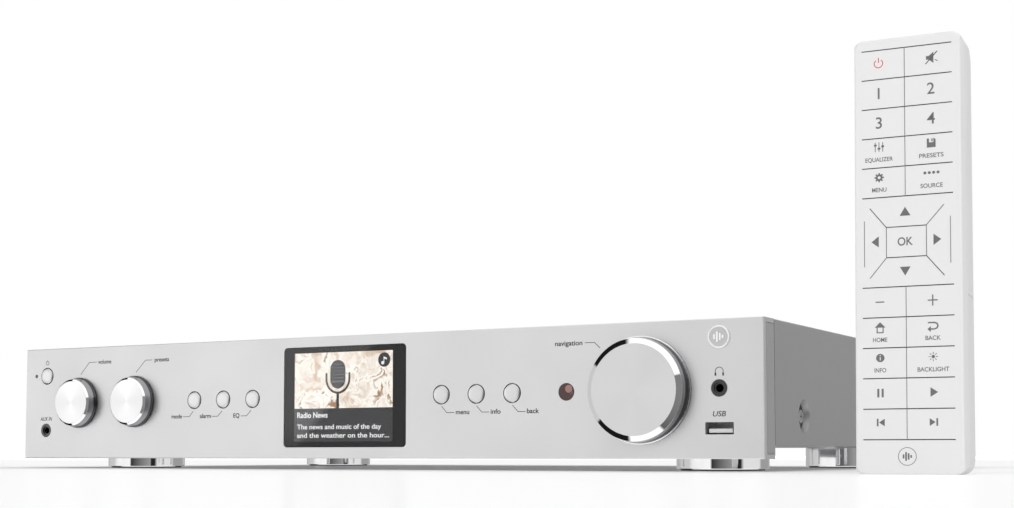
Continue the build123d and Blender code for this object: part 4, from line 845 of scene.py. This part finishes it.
# ---------------------------------------------------------------- rear details
REAR_SHEET = 144.0                     # outer face of the rear sheet
PHONO_X, PHONO_Z = (13, 27), ((28.2, plastic_red), (43.2, plastic_white))
PHONO_RING = [(4.3, 144.0), (6.0, 144.0), (6.0, 144.5), (5.7, 144.8), (4.3, 144.8)]
for k, (x, (z, material)) in enumerate((x, row) for x in PHONO_X for row in PHONO_Z):
    ring = lathe(f"phono_ring_{k + 1}", PHONO_RING, (x * MM, 0, z * MM), [material], segments=48)
    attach(ring, "unit")
THREAD_START, THREAD_PITCH = 145.0, 0.9
thread = []
for k in range(9):
    base = THREAD_START + k * THREAD_PITCH
    thread += [(4.75, base), (5.0, base + 0.3), (4.75, base + 0.6)]
aerial = lathe("antenna_thread", [(4.6, 144.4)] + thread + [(4.6, 153.3)], (158 * MM, 0, 29.2 * MM),
               [metal_nickel], segments=48)
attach(aerial, "unit")
contacts = Drawing("network_contacts", (122 * MM, (145 - 12.9) * MM, 30.2 * MM), Vector((-1, 0, 0)), UP,
                   height=6.0, sink=0.05)
for k in range(8):
    contacts.box((k - 3.5) * 1.02, 3.1 - 4.0, 0.35, 0.3, metal_brass)
contacts.build("unit")

rear_print = Drawing("rear_legends", (0, REAR_SHEET * MM, 0), Vector((-1, 0, 0)), UP,
                     height=0.03, sink=0.03)
for words, node, height in (("ANTENNA", "antenna_socket", 38.5), ("NETWORK", "network_socket", 38.5),
                            ("OPTICAL OUT", "digital_sockets", 38.5), ("LINE OUT", "audio_sockets", 52.2),
                            ("POWER", "mains_switch_frame", 49.0), ("AC IN", "mains_inlet", 49.0)):
    rear_print.text(words, -centre(node).x / MM, None, height, 2.0, ink_black, weight=0.03)
for words, height in (("L", PHONO_Z[1][0]), ("R", PHONO_Z[0][0])):
    rear_print.text(words, -36.5, None, height, 2.0, ink_black, weight=0.03)
for words, x in (("1", -90), ("2", -72)):
    rear_print.text(words, x, None, 21.0, 1.8, ink_black, weight=0.03)
rear_print.build("unit")

# ---------------------------------------------------------------- camera
LENS_MM, SHIFT_UP = 54.61, 0.0987
EYE, TILT, TURN_LEFT = (0.4357, -0.7605, 0.0072), 93.7456, 29.225
camera_data = bpy.data.cameras.new("camera")
camera_data.sensor_width = 36.0
camera_data.lens = LENS_MM
camera_data.shift_y = SHIFT_UP
camera_data.clip_start = 0.01
camera = bpy.data.objects.new("camera", camera_data)
camera.location = EYE
camera.rotation_euler = (radians(TILT), 0, radians(TURN_LEFT))
bpy.context.scene.collection.objects.link(camera)
bpy.context.scene.camera = camera
bpy.context.scene.view_settings.view_transform = "Standard"

# ---------------------------------------------------------------- studio: floor and surroundings
FLOOR_LIFT, FAR_LIFT = 0.18, 0.5       # glow of the floor, rising from none next to the unit (painted shade there), and towards its far edge
LAMP_WATTS = 14.0
FLOOR_HALF = 6
floor = mesh_object("floor", [(x * FLOOR_HALF, y * FLOOR_HALF, 0)
                              for x, y in ((-1, -1), (1, -1), (1, 1), (-1, 1))], [(0, 1, 2, 3)], [])
floor_shader = Shader("floor_white")
matt = floor_shader.add("ShaderNodeBsdfDiffuse", {"Color": (0.86, 0.86, 0.86, 1)})
gloss = floor_shader.add("ShaderNodeBsdfGlossy", {"Color": (1, 1, 1, 1), "Roughness": 0.16})
sheen = floor_shader.add("ShaderNodeMixShader", {0: 0.13, 1: matt.outputs[0], 2: gloss.outputs[0]})
# no glow at the edge of a box round the unit, full glow 8 cm out: painted shade round the unit
folded = floor_shader.add("ShaderNodeVectorMath", {0: floor_shader.place}, operation="ABSOLUTE")
beyond = floor_shader.add("ShaderNodeVectorMath", {0: folded.outputs["Vector"],
                                                   1: (cad_high.x - 0.1, -FRONT, 1)}, operation="SUBTRACT")
outside = floor_shader.add("ShaderNodeVectorMath", {0: beyond.outputs["Vector"], 1: (0, 0, 0)},
                           operation="MAXIMUM")
away = floor_shader.add("ShaderNodeVectorMath", {0: outside.outputs["Vector"]}, operation="LENGTH")
lift, far = (floor_shader.add("ShaderNodeEmission", {
    "Color": (1, 1, 1, 1), "Strength": floor_shader.spread(away.outputs["Value"], 0.0, *rise)})
    for rise in ((FLOOR_LIFT, 0.0, 0.08), (FAR_LIFT, 0.8, 4.0)))
lifts = floor_shader.add("ShaderNodeAddShader", {0: lift.outputs[0], 1: far.outputs[0]})
total = floor_shader.add("ShaderNodeAddShader", {0: sheen.outputs[0], 1: lifts.outputs[0]})
floor_shader.tree.links.new(total.outputs[0],
                            floor_shader.tree.nodes["Material Output"].inputs["Surface"])
floor.data.materials.append(floor_shader.material)
floor.visible_glossy = False


class Sky(Shader):
    """The world's nodes: brightness by azimuth (0 is -Y, 90 is +X) and elevation, in degrees."""

    def __init__(self, world):
        self.tree = world.node_tree
        way = self.add("ShaderNodeTexCoord").outputs["Generated"]
        parts = self.add("ShaderNodeSeparateXYZ", {0: way}).outputs
        self.azimuth = self.math("MULTIPLY", self.math("ARCTAN2", parts[0],
                                 self.math("MULTIPLY", parts[1], -1.0)), degrees(1))
        self.elevation = self.math("MULTIPLY", self.math("ARCSINE", parts[2]), degrees(1))
        self.height = self.math("ABSOLUTE", self.elevation)

    def past(self, value, edge, soft=1.5):
        """Rises from 0 to 1 as the value passes the edge."""
        node = self.add("ShaderNodeMapRange", {"Value": value, "From Min": edge - soft,
                                               "From Max": edge + soft}, interpolation_type="SMOOTHSTEP")
        return node.outputs["Result"]

    def blend(self, factor, low, high):
        mix = self.add("ShaderNodeMix", data_type="FLOAT")
        for key, value in ((0, factor), (2, low), (3, high)):
            if isinstance(value, bpy.types.NodeSocket):
                self.tree.links.new(value, mix.inputs[key])
            else:
                mix.inputs[key].default_value = value
        return mix.outputs[0]


# a broad soft light from above and in front, which the polished metal doesn't mirror
lamp_data = bpy.data.lights.new("soft_light", "AREA")
lamp_data.shape, lamp_data.size, lamp_data.size_y = "RECTANGLE", 3.0, 2.4
lamp_data.energy = LAMP_WATTS
lamp = bpy.data.objects.new("soft_light", lamp_data)
lamp.location = (0.2, -3.0, 2.6)
lamp.rotation_euler = (Vector((0.1, 0, 0)) - lamp.location).to_track_quat("-Z", "Y").to_euler()
lamp.visible_glossy = False
bpy.context.scene.collection.objects.link(lamp)

world = bpy.data.worlds.new("studio")
bpy.context.scene.world = world
world.use_nodes = True
sky = Sky(world)
# brightness round the horizon, by azimuth: light and dark panels that the metal mirrors
LEVELS = [(-180, 0.45), (-112, 0.5), (-106, 0.6), (-70, 0.65), (-60, 0.92), (-10, 1.04), (-6, 0.03),
          (52, 0.35), (55, 0.02), (66, 0.02), (74, 0.82), (122, 0.82), (130, 0.36), (170, 0.36),
          (180, 0.45)]
ramp = sky.add("ShaderNodeValToRGB", {0: sky.math("DIVIDE", sky.math("ADD", sky.azimuth, 180.0), 360.0)})
ramp.color_ramp.elements[0].position = 0
ramp.color_ramp.elements[1].position = 1
for angle, level in LEVELS[1:-1]:
    ramp.color_ramp.elements.new((angle + 180) / 360)
for element, (angle, level) in zip(ramp.color_ramp.elements, LEVELS):
    element.color = (level / 2, level / 2, level / 2, 1)
band = sky.math("MULTIPLY", ramp.outputs["Color"], 2.0)
far_left = sky.math("SUBTRACT", 1.0, sky.past(sky.azimuth, -43.0, 3.0))
roof = sky.blend(far_left, 1.15, sky.blend(sky.past(sky.height, 48.0), 0.01, 1.15))
edge = sky.blend(sky.past(sky.azimuth, -2.0, 6.0), 20.0,
                 sky.blend(sky.past(sky.elevation, 0.0, 1.0), 40.0, 17.5))
above = sky.past(sky.math("SUBTRACT", sky.height, edge), 0.0, 1.2)
light = sky.blend(above, band, roof)
# a small bright card at the far left, with a slanting edge that the display's glass mirrors
glare = sky.math("SUBTRACT", sky.azimuth, sky.math("MULTIPLY", sky.elevation, 0.72))
card = sky.math("MULTIPLY", sky.math("SUBTRACT", 1.0, sky.past(glare, -37.2, 0.2)),
                sky.past(sky.azimuth, -54.0, 2.0))
card = sky.math("MULTIPLY", card, sky.math("SUBTRACT", 1.0, sky.past(sky.math("ABSOLUTE",
                sky.math("SUBTRACT", sky.elevation, 3.0)), 2.6, 0.8)))
light = sky.math("ADD", light, sky.math("MULTIPLY", card, 1.1))
# the backdrop itself looks plain white
seen = sky.add("ShaderNodeLightPath").outputs["Is Camera Ray"]
shown = sky.add("ShaderNodeMix", data_type="RGBA")
world.node_tree.links.new(seen, shown.inputs[0])
world.node_tree.links.new(light, shown.inputs[6])
shown.inputs[7].default_value = (1, 1, 1, 1)
world.node_tree.links.new(shown.outputs[2], world.node_tree.nodes["Background"].inputs["Color"])
